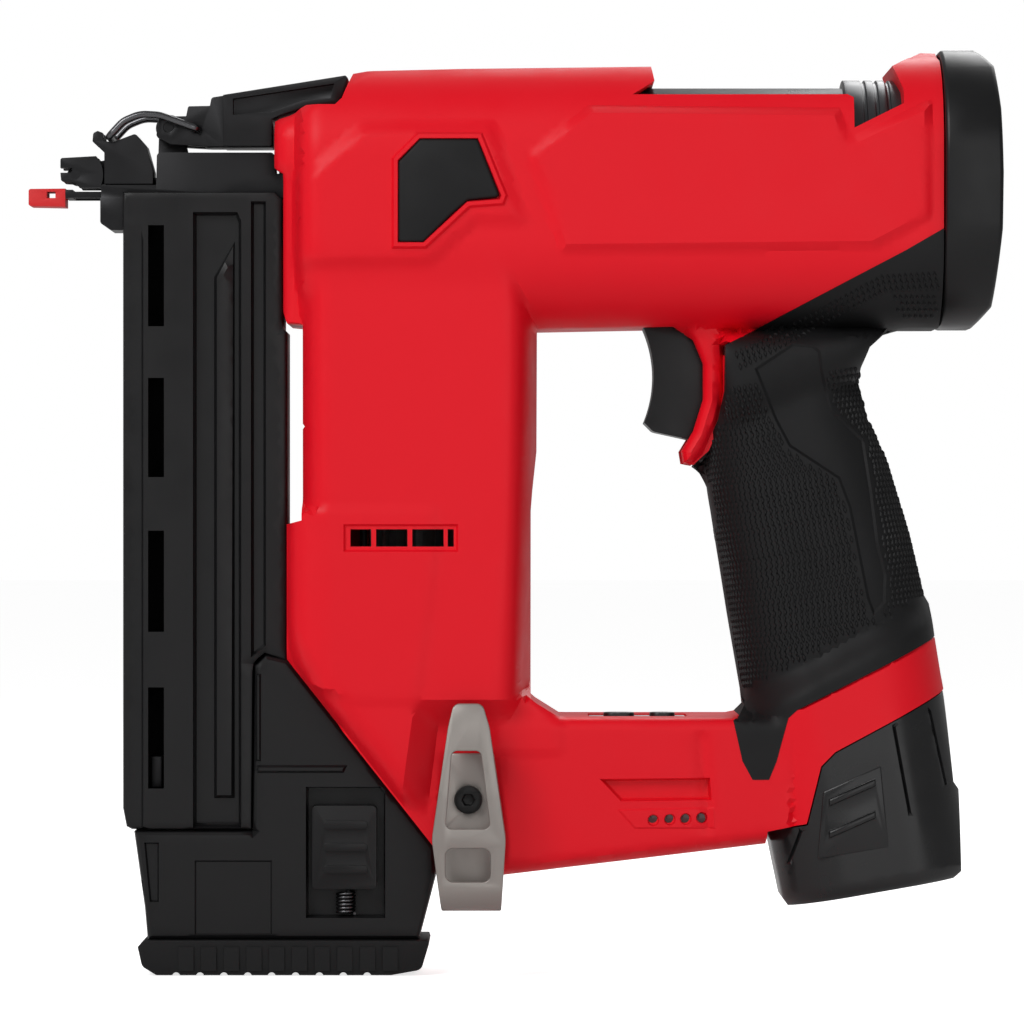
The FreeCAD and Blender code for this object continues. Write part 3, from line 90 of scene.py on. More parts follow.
def paint(name, color, rough, grain, bump, metal=0.0, gloss=0.4):
    material = bpy.data.materials.get(name) or bpy.data.materials.new(name)
    material.use_nodes = True
    tree = material.node_tree
    tree.nodes.clear()
    shader = tree.nodes.new("ShaderNodeBsdfPrincipled")
    shader.inputs["Base Color"].default_value = (*color, 1)
    shader.inputs["Roughness"].default_value = rough
    shader.inputs["Metallic"].default_value = metal
    shader.inputs["Specular IOR Level"].default_value = gloss
    out = tree.nodes.new("ShaderNodeOutputMaterial")
    tree.links.new(shader.outputs["BSDF"], out.inputs["Surface"])
    if bump:
        place = tree.nodes.new("ShaderNodeTexCoord")
        noise = tree.nodes.new("ShaderNodeTexNoise")
        noise.inputs["Scale"].default_value = 1 / (grain * mm)
        noise.inputs["Detail"].default_value = 2
        relief = tree.nodes.new("ShaderNodeBump")
        relief.inputs["Strength"].default_value = bump
        relief.inputs["Distance"].default_value = reliefDepth
        tree.links.new(place.outputs["Object"], noise.inputs["Vector"])
        tree.links.new(noise.outputs["Fac"], relief.inputs["Height"])
        tree.links.new(relief.outputs["Normal"], shader.inputs["Normal"])
        smear = tree.nodes.new("ShaderNodeTexNoise")        # handled patches, a little duller or glossier
        smear.inputs["Scale"].default_value = 1 / (smearSettings["size"] * mm)
        smear.inputs["Detail"].default_value = 3
        spread = tree.nodes.new("ShaderNodeMapRange")
        spread.inputs["From Min"].default_value = 0.3
        spread.inputs["From Max"].default_value = 0.7
        spread.inputs["To Min"].default_value = max(smearSettings["least"], rough - smearSettings["glossier"])
        spread.inputs["To Max"].default_value = rough + smearSettings["duller"]
        tree.links.new(place.outputs["Object"], smear.inputs["Vector"])
        tree.links.new(smear.outputs["Fac"], spread.inputs["Value"])
        tree.links.new(spread.outputs["Result"], shader.inputs["Roughness"])
    return material


materials = {name: paint(name, **values) for name, values in finishes.items()}
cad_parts["nose_pins"].data.materials[0] = materials["steel_dark"]      # blackened, as the nose is
print("finishes:", len(materials))


# Plane geometry in X, Z, all in millimetres.
outsideFall = 4     # how steeply a block's height drops beyond its own outline


def edgeDistance(points, line, closed=True):
    line = np.asarray(line, float)
    ends = np.roll(line, -1, 0) if closed else line[1:]
    best = np.full(len(points), 1e9)
    for a, b in zip(line, ends):
        ab = b - a
        t = np.clip((points - a) @ ab / max(ab @ ab, 1e-12), 0, 1)
        best = np.minimum(best, np.hypot(*(points - a - t[:, None] * ab).T))
    return best


def isInside(points, line):
    line = np.asarray(line, float)
    odd = np.zeros(len(points), bool)
    for a, b in zip(line, np.roll(line, -1, 0)):
        if a[1] == b[1]:
            continue
        crosses = (a[1] > points[:, 1]) != (b[1] > points[:, 1])
        at = a[0] + (points[:, 1] - a[1]) / (b[1] - a[1]) * (b[0] - a[0])
        odd ^= crosses & (points[:, 0] < at)
    return odd


# Distance from the outline, positive inside it.
def depthIn(points, line):
    far = edgeDistance(points, line)
    return np.where(isInside(points, line), far, -far)


# How far a rounded edge has fallen at each depth; a negative radius is a chamfer.
def roundDrop(depth, radius):
    if radius == 0:
        return 0 * depth
    if radius < 0:
        return np.clip(-radius - depth, 0, -radius)
    short = np.clip(radius - depth, 0, radius)
    return radius - np.sqrt(radius * radius - short * short)


# The higher of two heights, with a fillet of about this width where they cross.
def softMax(a, b, width):
    near = np.clip(width - np.abs(a - b), 0, None) / width
    return np.maximum(a, b) + near * near * width / 4


def softStep(t):
    t = np.clip(t, 0, 1)
    return t * t * (3 - 2 * t)


# Half width of a block whose edges fall away by each corner's own radius.
def convexPart(points, corners, half):
    spots = np.array([c[:2] for c in corners], float)
    middle = spots.mean(0)
    least = np.full(len(points), 1e9)
    drop = 0
    for a, b, corner in zip(spots, np.roll(spots, -1, 0), corners):
        normal = np.array([a[1] - b[1], b[0] - a[0]]) / np.hypot(*(b - a))
        if (middle - a) @ normal < 0:
            normal = -normal
        depth = (points - a) @ normal
        least = np.minimum(least, depth)
        drop = drop + roundDrop(depth, corner[2])
    return half - drop + outsideFall * np.minimum(least, 0)


# A closed outline moved inwards, corners mitred.
def inset(line, by):
    line = np.asarray(line, float)
    area = sum(a[0] * b[1] - b[0] * a[1] for a, b in zip(line, np.roll(line, -1, 0)))
    sign = 1 if area > 0 else -1
    moved = []
    for i in range(len(line)):
        before, here, after = line[i - 1], line[i], line[(i + 1) % len(line)]
        first = (here - before) / np.hypot(*(here - before))
        second = (after - here) / np.hypot(*(after - here))
        normalA = sign * np.array([-first[1], first[0]])
        normalB = sign * np.array([-second[1], second[0]])
        both = normalA + normalB
        moved.append(here + both * by / max(0.3, (both @ both) / 2))
    return np.array(moved)


def circle(x, z, radius, count=20):
    angles = [2 * math.pi * k / count for k in range(count)]
    return [(x + radius * math.cos(angle), z + radius * math.sin(angle)) for angle in angles]


# Points along a line, about one step apart, every corner kept.
def spaced(line, step, closed=True):
    line = [np.asarray(p, float) for p in line]
    ends = line[1:] + line[:1] if closed else line[1:]
    points = []
    for a, b in zip(line, ends):
        count = max(1, int(round(np.hypot(*(b - a)) / step)))
        points += [a + (b - a) * k / count for k in range(count)]
    return points if closed else points + [line[-1]]


panelSettings = dict(rings=(0.35, 1.1, 2.2, 3.7), ringMatch=0.08, rowPitch=0.87, clearance=0.45, least=0.5,
                     leastWall=0.2)


# A staggered grid inside the outline, kept off the points that are there already.
def fillPoints(outline, fixed, step):
    low, high = outline.min(0), outline.max(0)
    grid = np.array([(x + (step / 2 if row % 2 else 0), z)
                     for row, z in enumerate(np.arange(low[1], high[1], step * panelSettings["rowPitch"]))
                     for x in np.arange(low[0], high[0], step)])
    grid = grid[isInside(grid, outline)]
    clear = np.full(len(grid), 1e9)
    for k in range(0, len(fixed), 400):
        part = fixed[k:k + 400]
        away = np.sqrt(((grid[:, None, :] - part[None]) ** 2).sum(2))
        clear = np.minimum(clear, away.min(1))
    return grid[clear > step * panelSettings["clearance"]]


# Only the triangles within the outline and outside its holes, all turned the same way.
def keptFaces(flat, faces, outline, holes):
    centre = flat[faces].mean(1)
    good = isInside(centre, outline)
    for hole in holes:
        good &= ~isInside(centre, hole)
    faces = faces[good]
    first, second = flat[faces[:, 1]] - flat[faces[:, 0]], flat[faces[:, 2]] - flat[faces[:, 0]]
    area = first[:, 0] * second[:, 1] - first[:, 1] * second[:, 0]
    faces, area = faces[np.abs(area) > 1e-7], area[np.abs(area) > 1e-7]
    faces[area < 0] = faces[area < 0][:, ::-1]
    return faces


# One moulded half as vertices (x, half width, z) and faces, with walls from the rim down to endAt.
def panelMesh(outline, heightOf, step, loops=(), lines=(), holes=(), rings=panelSettings["rings"], endAt=None):
    spots, edges = [], []
    outline = np.asarray(outline, float)

    def addLine(line, closed):
        start = len(spots)
        spots.extend(spaced(line, step, closed))
        count = len(spots) - start
        edges.extend((start + k, start + (k + 1) % count) for k in range(count if closed else count - 1))

    def addRing(by):        # a line just inside the rim, wherever the mitred inset is truly that deep
        ring = np.array(spaced(inset(outline, by), step))
        true = np.abs(edgeDistance(ring, outline) - by) < by * panelSettings["ringMatch"]
        number = {k: len(spots) + n for n, k in enumerate(np.flatnonzero(true).tolist())}
        spots.extend(ring[true])
        edges.extend((number[k], number[(k + 1) % len(ring)]) for k in number if (k + 1) % len(ring) in number)

    for loop in (outline, *loops, *holes):
        addLine(loop, True)
    for line in lines:
        addLine(line, False)
    for by in rings:
        addRing(by)
    points = [Vector(p) for p in (*spots, *fillPoints(outline, np.array(spots), step))]
    flat, _, faces, _, _, _ = delaunay_2d_cdt(points, edges, [], 0, 1e-5)
    flat = np.array([tuple(p) for p in flat])
    faces = keptFaces(flat, np.array([tuple(f) for f in faces if len(f) == 3]), outline, holes)
    half = np.maximum(heightOf(flat), panelSettings["least"])
    directed = {(f[i], f[(i + 1) % 3]) for f in faces.tolist() for i in range(3)}
    border = [e for e in directed if (e[1], e[0]) not in directed]
    middles = np.array([(flat[a] + flat[b]) / 2 for a, b in border])
    walls = [e for e, onRim in zip(border, edgeDistance(middles, outline) < 0.05) if onRim]
    feet = sorted({v for e in walls for v in e})
    ends = np.zeros(len(feet)) if endAt is None else endAt(flat[feet])
    number = {v: len(flat) + k for k, v in enumerate(feet)}
    vertices = [(p[0], h, p[1]) for p, h in zip(flat, half)]
    vertices += [(flat[v][0], min(end, half[v] - panelSettings["leastWall"]), flat[v][1])
                 for v, end in zip(feet, ends)]
    quads = [(b, a, number[a], number[b]) for a, b in walls]
    return vertices, [tuple(f) for f in faces.tolist()] + quads


sharpAngles = dict(panel=28, copy=32, repeat=30)       # degrees


# A moulded piece from its outer surface: welded along its middle if asked, and given its wall.
def finishMesh(name, vertices, faces, slot, body, replaced, thick, weld=0.0):
    mesh = bpy.data.meshes.new(name)
    mesh.from_pydata([Vector(v) * mm for v in vertices], [], faces)
    built = bpy.data.objects.new(name, mesh)
    bpy.context.collection.objects.link(built)
    if weld:
        work = bmesh.new()
        work.from_mesh(mesh)
        bmesh.ops.remove_doubles(work, verts=work.verts, dist=weld * mm)
        work.to_mesh(mesh)
        work.free()
    shell = built.modifiers.new("wall", "SOLIDIFY")
    shell.thickness = thick * mm
    shell.offset = -1
    return settle(built, slot, body, replaced, sharpAngles["panel"])


# Applies the modifiers, marks sharp edges, gives the finish and hands the piece to its body.
def settle(built, slot, body, replaced, sharp):
    bpy.context.view_layer.update()
    if built.modifiers:
        fresh = bpy.data.meshes.new_from_object(built.evaluated_get(bpy.context.evaluated_depsgraph_get()))
        built.modifiers.clear()
        built.data = fresh
    built.data.materials.clear()
    built.data.materials.append(materials[slot])
    built.data.shade_smooth()
    built.data.set_sharp_from_angle(angle=math.radians(sharp))
    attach(built, body)
    if replaced:
        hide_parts(*replaced)
    return built


# Gives a half its side: -1 is the hook's side, +1 the other.
def sided(vertices, faces, side):
    placed = [(x, side * h, z) for x, h, z in vertices]
    return placed, faces if side < 0 else [tuple(reversed(f)) for f in faces]


def joined(left, right):
    count = len(left[0])
    return left[0] + right[0], left[1] + [tuple(i + count for i in f) for f in right[1]]


def bothSides(vertices, faces):
    return joined(sided(vertices, faces, -1), sided(vertices, faces, 1))


copySettings = dict(flatter=1.5, limit=35)      # degrees: faces joined as flat, and edges that are broken


# A looks mesh from a CAD node: its own shape with the edges broken.
def softCopy(node, slot, body, width, segments):
    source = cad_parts[node]
    work = bmesh.new()
    work.from_mesh(source.data)
    bmesh.ops.remove_doubles(work, verts=work.verts, dist=1e-6)
    bmesh.ops.dissolve_degenerate(work, edges=work.edges, dist=1e-6)
    mesh = bpy.data.meshes.new(node + "_look")
    work.to_mesh(mesh)
    work.free()
    built = bpy.data.objects.new(node + "_look", mesh)
    bpy.context.collection.objects.link(built)
    flat = built.modifiers.new("flat", "DECIMATE")
    flat.decimate_type = "DISSOLVE"
    flat.angle_limit = math.radians(copySettings["flatter"])
    edge = built.modifiers.new("edge", "BEVEL")
    edge.width = width * mm
    edge.segments = segments
    edge.limit_method = "ANGLE"
    edge.angle_limit = math.radians(copySettings["limit"])
    edge.use_clamp_overlap = True
    return settle(built, slot, body, (node,), sharpAngles["copy"])


# Repeats one small piece at every spot with geometry nodes and keeps the result as a plain mesh.
def scatter(name, spots, turns, piece, slot, body, replaced=()):
    mesh = bpy.data.meshes.new(name)
    mesh.from_pydata([Vector(s) * mm for s in spots], [], [])
    turned = mesh.attributes.new("turn", "FLOAT_VECTOR", "POINT")
    turned.data.foreach_set("vector", np.array([tuple(t) for t in turns], float).ravel())
    built = bpy.data.objects.new(name, mesh)
    bpy.context.collection.objects.link(built)
    tree = bpy.data.node_groups.new(name + "_tree", "GeometryNodeTree")
    for label, kind, way in (("Spots", "Geometry", "INPUT"), ("Piece", "Object", "INPUT"),
                             ("Size", "Float", "INPUT"), ("Finish", "Material", "INPUT"),
                             ("Result", "Geometry", "OUTPUT")):
        tree.interface.new_socket(name=label, in_out=way, socket_type="NodeSocket" + kind)
    start = tree.nodes.new("NodeGroupInput")
    end = tree.nodes.new("NodeGroupOutput")
    info = tree.nodes.new("GeometryNodeObjectInfo")
    turn = tree.nodes.new("GeometryNodeInputNamedAttribute")
    turn.data_type = "FLOAT_VECTOR"
    turn.inputs["Name"].default_value = "turn"
    place = tree.nodes.new("GeometryNodeInstanceOnPoints")
    real = tree.nodes.new("GeometryNodeRealizeInstances")
    dress = tree.nodes.new("GeometryNodeSetMaterial")
    link = tree.links.new
    link(start.outputs["Spots"], place.inputs["Points"])
    link(start.outputs["Piece"], info.inputs["Object"])
    link(info.outputs["Geometry"], place.inputs["Instance"])
    link(turn.outputs["Attribute"], place.inputs["Rotation"])
    link(start.outputs["Size"], place.inputs["Scale"])
    link(place.outputs["Instances"], real.inputs["Geometry"])
    link(real.outputs["Geometry"], dress.inputs["Geometry"])
    link(start.outputs["Finish"], dress.inputs["Material"])
    link(dress.outputs["Geometry"], end.inputs["Result"])
    repeat = built.modifiers.new("repeat", "NODES")
    repeat.node_group = tree
    values = {"Piece": piece, "Size": 1.0, "Finish": materials[slot]}
    for item in tree.interface.items_tree:
        if item.in_out == "INPUT" and item.name in values:
            repeat[item.identifier] = values[item.name]
    settle(built, slot, body, replaced, sharpAngles["repeat"])
    bpy.data.objects.remove(piece)
    return built


def pieceFrom(name, vertices, faces):
    mesh = bpy.data.meshes.new(name)
    mesh.from_pydata([Vector(v) * mm for v in vertices], [], faces)
    work = bmesh.new()
    work.from_mesh(mesh)
    bmesh.ops.recalc_face_normals(work, faces=work.faces)
    work.to_mesh(mesh)
    work.free()
    made = bpy.data.objects.new(name, mesh)
    bpy.context.collection.objects.link(made)
    return made


# A small turned piece about its own Z axis, from (radius, height) points starting and ending on the axis.
def lathe(name, profile, count):
    vertices = [(0, 0, profile[0][1])]
    for radius, height in profile[1:-1]:
        vertices += [(x, y, height) for x, y in circle(0, 0, radius, count)]
    vertices.append((0, 0, profile[-1][1]))
    faces = []
    rows = len(profile) - 2
    for k in range(count):
        n = (k + 1) % count
        faces.append((0, 1 + k, 1 + n))
        for row in range(rows - 1):
            a = 1 + row * count
            faces.append((a + k, a + count + k, a + count + n, a + n))
        last = 1 + (rows - 1) * count
        faces.append((last + k, len(vertices) - 1, last + n))
    return pieceFrom(name, vertices, faces)


# The grip's own frame: t runs down the grip, u from its front to its back.
gripTop = np.array([190.4, -50.5])
gripTilt = math.radians(10)
gripDown = np.array([math.sin(gripTilt), -math.cos(gripTilt)])
gripAft = np.array([math.cos(gripTilt), math.sin(gripTilt)])
# Down the grip: t, then its centre, half length and half width.
gripStations = np.array([(-6, 0, 19.6, 19.5), (21, 0.5, 22.9, 20.5), (40, 1.8, 23.9, 21.2),
                         (58, 2.2, 24.6, 21.5), (76, 2.4, 24.8, 21.5)])
gripShape = dict(cornerShare=0.8, top=-14, topFall=3)
collar = dict(run=7.5, centre=2.2, halfLength=25.2, halfWidth=25.5, corner=18)
bandTop = np.array([(180.5, -126), (227, -101.5)])
bandWay = (bandTop[1] - bandTop[0]) / np.hypot(*(bandTop[1] - bandTop[0]))
bandDown = np.array([bandWay[1], -bandWay[0]])


# Centre, half length, half width and corner radius of the handle at each point, flaring into the collar.
def gripSection(points):
    away = points - gripTop
    t, u = away @ gripDown, away @ gripAft
    flare = softStep((points - bandTop[0]) @ bandDown / collar["run"])
    section = [np.interp(t, gripStations[:, 0], gripStations[:, k]) for k in (1, 2, 3)]
    corner = section[2] * gripShape["cornerShare"]
    centre = section[0] + (collar["centre"] - section[0]) * flare
    a = section[1] + (collar["halfLength"] - section[1]) * flare
    b = section[2] + (collar["halfWidth"] - section[2]) * flare
    return t, u, centre, a, b, corner + (collar["corner"] - corner) * flare


def handleHeight(points):
    t, u, centre, a, b, radius = gripSection(points)
    depth = a - np.abs(u - centre)
    short = np.clip(radius - depth, 0, radius)
    height = b - (radius - np.sqrt(radius * radius - short * short)) + outsideFall * np.minimum(depth, 0)
    return height + gripShape["topFall"] * np.minimum(t - gripShape["top"], 0)


guardLine = [(163, -31), (168, -37), (170.5, -43), (170.5, -52), (168, -60), (165, -65), (165.5, -68),
             (167.5, -68.5), (171, -64), (174, -57), (175.5, -50), (175.5, -31)]
# Blocks of the moulded body: half width, then corners (x, z, radius of the edge that starts there).
bodyParts = [
    (31.0, [(69, -36, 6), (69, 21.5, -3), (84, 31.8, 23), (235, 34.5, 0), (235, -34.2, 23)]),
    (21.0, [(62.7, 3, 5), (62.7, 18.3, 6), (90, 25, 0), (90, 3, 5)]),
    (20.0, [(65, -33, 3), (65, 5, 0), (80, 5, 0), (80, -33, 0)]),
    (29.5, [(69.6, -6, 7), (69.8, -83, 7), (70, -122, 0), (100, -134, -7), (127.4, -134, 7),
            (127.4, -80, 7), (128.6, -62, 7), (128.6, -31, 4), (122, -18, 4), (112, -10, 3), (80, -6, 0)]),
    (29.5, [(66.8, -80, 7), (66.8, -117, 7), (100, -159, -6), (103.5, -133, 0), (103, -80, 0)]),
    (21.0, [(65.6, -82.5, 2), (65.6, -117.5, 3), (90, -149, 0), (80, -82.5, 0)]),
    (23.0, [(97, -131.8, 3), (192, -131.8, 0), (192, -164.2, 4), (119, -171.6, 4), (100, -174, 0),
            (80, -135, 0)]),
    (23.0, [(118, -140, 0), (118, -126.5, 0), (128.2, -126.5, 3), (134.6, -131.8, 0), (134.6, -140, 0)]),
    (24.0, [(168, -22, 0), (232, -22, 0), (232, -34.5, 6), (216, -35, 6), (207, -50, 14), (178, -62, 6),
            (172, -45, 6)]),
]

# Outlines of what is raised or sunk on the body.
panelLine = [(67, 3.9), (72, 5.8), (84.4, 16.6), (118, 17.2), (127.2, -9.4), (114, -9.4), (102.6, -19.6),
             (67, -20.4)]
padLine = [(94, -13.5), (94, 7), (99.5, 12.5), (114, 12.5), (119.8, -1.8), (119.4, -2.8), (111.4, -3.4),
           (100.5, -13.5)]
padRim = [tuple(p) for p in inset(padLine, -1.5)]
badgeLine = [(126, 9), (141.6, 21), (204, 20.3), (206.5, 13), (227, 22.8), (227, -7.5), (212.3, -15.2),
             (134.2, -16)]
recessLine = [(144.3, -147), (171.9, -146.7), (172.3, -152.3), (149.6, -152.6)]
lampPanel = [(148.5, -154.5), (173, -154), (173.5, -159.5), (153, -159.5)]
lampSpots = [(157.7, -157.3), (161.8, -157.1), (165.8, -157), (169.8, -156.7)]
hookBoss = [(103.7, -141), (120, -141), (120, -168), (104.5, -168)]
ventFrame = [(80.5, -83.3), (109, -83.3), (109, -90.2), (80.5, -90.2)]
ventHoles = [[(x0, -84.6), (x1, -84.6), (x1, -88.9), (x0, -88.9)]
             for x0, x1 in ((82.2, 87.4), (88.6, 96.4), (97.6, 105.4), (106.4, 107.9))]
# Screws of the +Y side: x, z and the body's half width there.
screwSites = [(75.5, -60, 29.5), (121.5, -46, 29.5), (121.5, -104, 29.5), (76, -110, 29.5),
              (76.5, 13.5, 30), (103, 20, 27), (140, -158, 23), (173, -141, 23), (182, -154, 23)]
screws = dict(hole=3.7, slope=0.3, floor=4.9, head=2.2, sides=18)

# Each detail is its outline, how far it stands out (sunk if negative) and the width of its slope.
upperDetails = [(panelLine, 1.3, 3.2), (padRim, 0.9, 0.6), (padLine, -1.9, 0.5)]
lowerDetails = [(ventFrame, -0.8, 0.5), (recessLine, -2.6, 0.6), (lampPanel, 0.35, 0.5)]
bossDetails = [(hookBoss, -0.7, 0.6)]
guard = dict(half=15, corner=3, fall=6, fillet=1.5, x=167.8, reach=7.9, top=-34, bottom=-72, blend=4)
badge = dict(half=32.3, lean=0.02, z=-16, run=2.2)
lampDimple = dict(radius=1.5, floor=1.2, depth=0.9)
trough = dict(line=[(169.6, -137), (171.5, -159)], depth=0.9, half=2.2)
housing = dict(step=1.5, wall=1.6, underSleeve=-1.6, sleeveStep=0.5, blockFillet=2.0)


def strapHeight(points):
    return guard["half"] - roundDrop(np.clip(depthIn(points, guardLine), 0, None), guard["corner"])


# Half width of the whole moulded body at each X, Z, before the pieces' own details.
def mouldedHeight(points):
    height = handleHeight(points)
    for half, corners in bodyParts:
        height = softMax(height, convexPart(points, corners, half), housing["blockFillet"])
    outside = np.minimum(depthIn(points, guardLine), 0)
    return softMax(height, strapHeight(points) + guard["fall"] * outside, guard["fillet"])


def detailed(points, height, details):
    for line, by, width in details:
        height = height + by * np.clip(depthIn(points, line) / width, 0, 1)
    return height


# A round recess at each site, its slope between the two radii.
def dimpled(points, height, sites, outer, inner, depth):
    for x, z in sites:
        away = np.hypot(points[:, 0] - x, points[:, 1] - z)
        height = height - depth * np.clip((outer - away) / (outer - inner), 0, 1)
    return height


def housingHeight(points, side):
    underSleeve = [(sleeveLine, housing["underSleeve"], housing["sleeveStep"])]
    height = detailed(points, mouldedHeight(points), underSleeve)
    beside = softStep((guard["top"] - points[:, 1]) / guard["blend"])
    beside = beside * (abs(points[:, 0] - guard["x"]) < guard["reach"]) * (points[:, 1] > guard["bottom"])
    height = height + (strapHeight(points) - height) * beside
    height = detailed(points, height, upperDetails)
    facet = badge["half"] - badge["lean"] * (points[:, 1] - badge["z"])
    within = np.clip(depthIn(points, badgeLine) / badge["run"], 0, 1)
    height = height + (np.maximum(height, facet) - height) * within
    height = detailed(points, height, lowerDetails)
    height = dimpled(points, height, lampSpots, lampDimple["radius"], lampDimple["floor"], lampDimple["depth"])
    away = edgeDistance(points, trough["line"], False)
    height = height - trough["depth"] * np.clip(1 - away / trough["half"], 0, 1)
    if side < 0:
        return detailed(points, height, bossDetails)
    for x, z, half in screwSites:       # flat-bottomed counterbores
        away = np.hypot(points[:, 0] - x, points[:, 1] - z)
        sunk = np.clip((screws["hole"] - away) / screws["slope"], 0, 1)
        height = height + (half - screws["floor"] - height) * sunk
    return height


redLine = [
    (62.7, 6.2), (62.7, 18), (66.5, 19.2), (71, 21.3), (78.3, 21.3), (80, 23), (82.5, 29.8), (86, 30.4),
    (110, 31), (157.3, 31.5), (158, 27.5), (152.5, 23.8), (206, 23.8), (207.5, 23), (207.5, 15.2), (220, 21.5),
    (220, 25), (217.7, 31.5), (226, 36.2), (229.7, 36), (229.7, -10.9), (220.6, -16.7), (176.8, -39.6),
    (176.8, -50.4), (175.1, -57.6), (172, -64.8), (168, -68.5), (165.5, -68), (165, -65), (168, -60),
    (170.5, -52), (170.5, -43), (168, -37), (163, -33.6), (128.7, -34.3), (128.6, -65), (127.5, -75),
    (127.1, -80), (127.1, -127), (128.3, -128), (134.4, -131.8), (141.6, -131.8), (141.8, -131.8),
    (166.6, -131.8), (166.8, -131.8), (177.3, -131.8), (181.2, -130.8), (193, -128.2), (225.5, -112),
    (229.25, -112), (231.3, -125), (203, -140.2), (199.5, -143.8), (196, -158.2), (186.3, -160.2),
    (186, -163.5), (119, -171.5), (109.5, -172.6), (103, -164.2), (66, -117.2), (66, -83.4), (70, -82.4),
    (70, -59.6), (70.6, -58.9), (70, -58.2), (70, -33.4), (66, -33), (65, -30), (65, 4.6), (63.3, 5.6)]
sleeveLine = [
    (175.7, -38.6), (220.2, -15.3), (229.7, -9.8), (229.7, -34), (221, -34), (216, -35.5), (212, -39),
    (210, -44), (209.8, -48), (212, -57), (217, -67), (221, -79), (225, -94), (226.8, -101.3),
    (228.2, -103.5), (229.2, -111.6), (193.6, -129.7), (191.4, -131.8), (188.5, -142.6), (186.6, -147.2),
    (182.5, -147.2), (180, -142.6), (177.7, -132.4), (179.3, -131.4), (181, -129), (180.5, -127),
    (180.3, -125), (177, -106), (173.5, -84), (172, -74), (170, -70.5), (168.2, -68.8), (171.2, -64),
    (174.3, -57), (175.7, -50)]
gripPanel = [
    (182.9, -44.5), (192.4, -38.2), (197.5, -38.6), (199.4, -40), (200.2, -45.2), (202.6, -54.7),
    (210.8, -62.2), (212.8, -75.8), (214.2, -88), (216.2, -96.2), (215.9, -103), (212.8, -106.4),
    (211.1, -101.6), (206.7, -79.2), (204, -72), (191.7, -63.9), (188.3, -57.4)]
# Where the rim wall stops short of the parting plane: x from and to, z from and to, and its half width there.
openings = dict(cylinder=(152.6, 219, 15, 27, 11.5), nose=(0, 67, -14, 18.5, 12.6),
                buttons=(141.7, 166.7, -131.9, -131.7, 9.4), trigger=(160, 184, -70, -32, 9.4))
partingGap = 0.06


def shelfEnd(points):
    x, z = points.T
    ends = np.full(len(points), partingGap)
    for left, right, bottom, top, half in openings.values():
        ends[(x > left) & (x < right) & (z > bottom) & (z < top)] = half
    return ends


def splitLoops(line, width):
    return [line, [tuple(p) for p in inset(line, width)]]


def detailLoops(details):
    return [loop for line, _, width in details for loop in splitLoops(line, width)]


# Only loops that lie wholly within the outline can be triangulation edges.
def insideOnly(loops, outline, margin=0.4):
    return [loop for loop in loops if (depthIn(np.asarray(loop, float), outline) > margin).all()]


redLoops = detailLoops(upperDetails)[1:] + splitLoops(badgeLine, badge["run"]) + detailLoops(lowerDetails)
for x, z in lampSpots:
    redLoops += [circle(x, z, lampDimple[radius], 14) for radius in ("radius", "floor")]
leftLoops = insideOnly(redLoops + detailLoops(bossDetails), redLine)
holeRadii = (screws["hole"], screws["hole"] - screws["slope"])
holeLoops = [circle(x, z, radius) for x, z, _ in screwSites for radius in holeRadii]
rightLoops = insideOnly(redLoops + holeLoops, redLine)
tongueStart = sleeveLine.index((193.6, -129.7))
tongue = slice(tongueStart, tongueStart + 7)
# Open lines that the triangles follow too: the raised panel, the sleeve's edge and the creases between blocks.
creases = [
    [(70.5, 4.2), (72, 5.8), (84.4, 16.6), (118, 17.2), (127.2, -9.4), (114, -9.4), (102.6, -19.6),
     (70.6, -20.3)],
    sleeveLine[tongue], [tuple(p) for p in inset(sleeveLine, 0.5)[tongue]],
    sleeveLine[:1] + [(220.2, -15.3), (229.4, -9.95)], [(175.7, -39.4), sleeveLine[-1], sleeveLine[-2]],
    [(94.8, -151.8), (97.6, -131.5), (100.2, -127), (120.5, -127)],
    [(100.9, -158), (103.9, -134), (120.5, -134)],
    [(69, -32), (69, 19.6)], [(67.9, -32), (67.9, 19)], [(66.9, -84.5), (66.9, -116.5)],
    [(73, -84), (73, -119)]]

for label, side, loops in (("housing_left", -1, leftLoops), ("housing_right", 1, rightLoops)):
    spots, faces = panelMesh(redLine, lambda p, s=side: housingHeight(p, s), housing["step"], loops, creases,
                             ventHoles if side < 0 else (), endAt=shelfEnd)
    spots, faces = sided(spots, faces, side)
    finishMesh(label + "_look", spots, faces, "shell_red", "tool", (label,), housing["wall"])
print("housing halves done")

sleeve = dict(step=1.4, wall=1.2, weld=0.01, lift=0.15, seamDepth=0.5, seamHalf=0.7, open=9.4)
sleeveDetails = [(gripPanel, -0.7, 0.7)]


def sleeveHeight(points):
    height = detailed(points, mouldedHeight(points), sleeveDetails)
    seam = edgeDistance(points, bandTop, False)
    return height - sleeve["seamDepth"] * np.clip(1 - seam / sleeve["seamHalf"], 0, 1) + sleeve["lift"]


# The sleeve's rim is open where the trigger passes.
def sleeveEnd(points):
    return np.where((points[:, 0] < 184) & (points[:, 1] > -67), sleeve["open"], 0.0)


loops = insideOnly(detailLoops(sleeveDetails), sleeveLine)
spots, faces = panelMesh(sleeveLine, sleeveHeight, sleeve["step"], loops, endAt=sleeveEnd)
spots, faces = bothSides(spots, faces)
finishMesh("grip_sleeve_look", spots, faces, "rubber_black", "tool", ("grip_sleeve",), sleeve["wall"],
           sleeve["weld"])


# The Euler turn whose Z is the normal and whose Y follows the grip downwards.
def standOn(normal):
    down = Vector((gripDown[0], 0, gripDown[1]))
    across = down.cross(normal).normalized()
    along = normal.cross(across)
    return Matrix([[across[i], along[i], normal[i]] for i in range(3)]).to_euler()


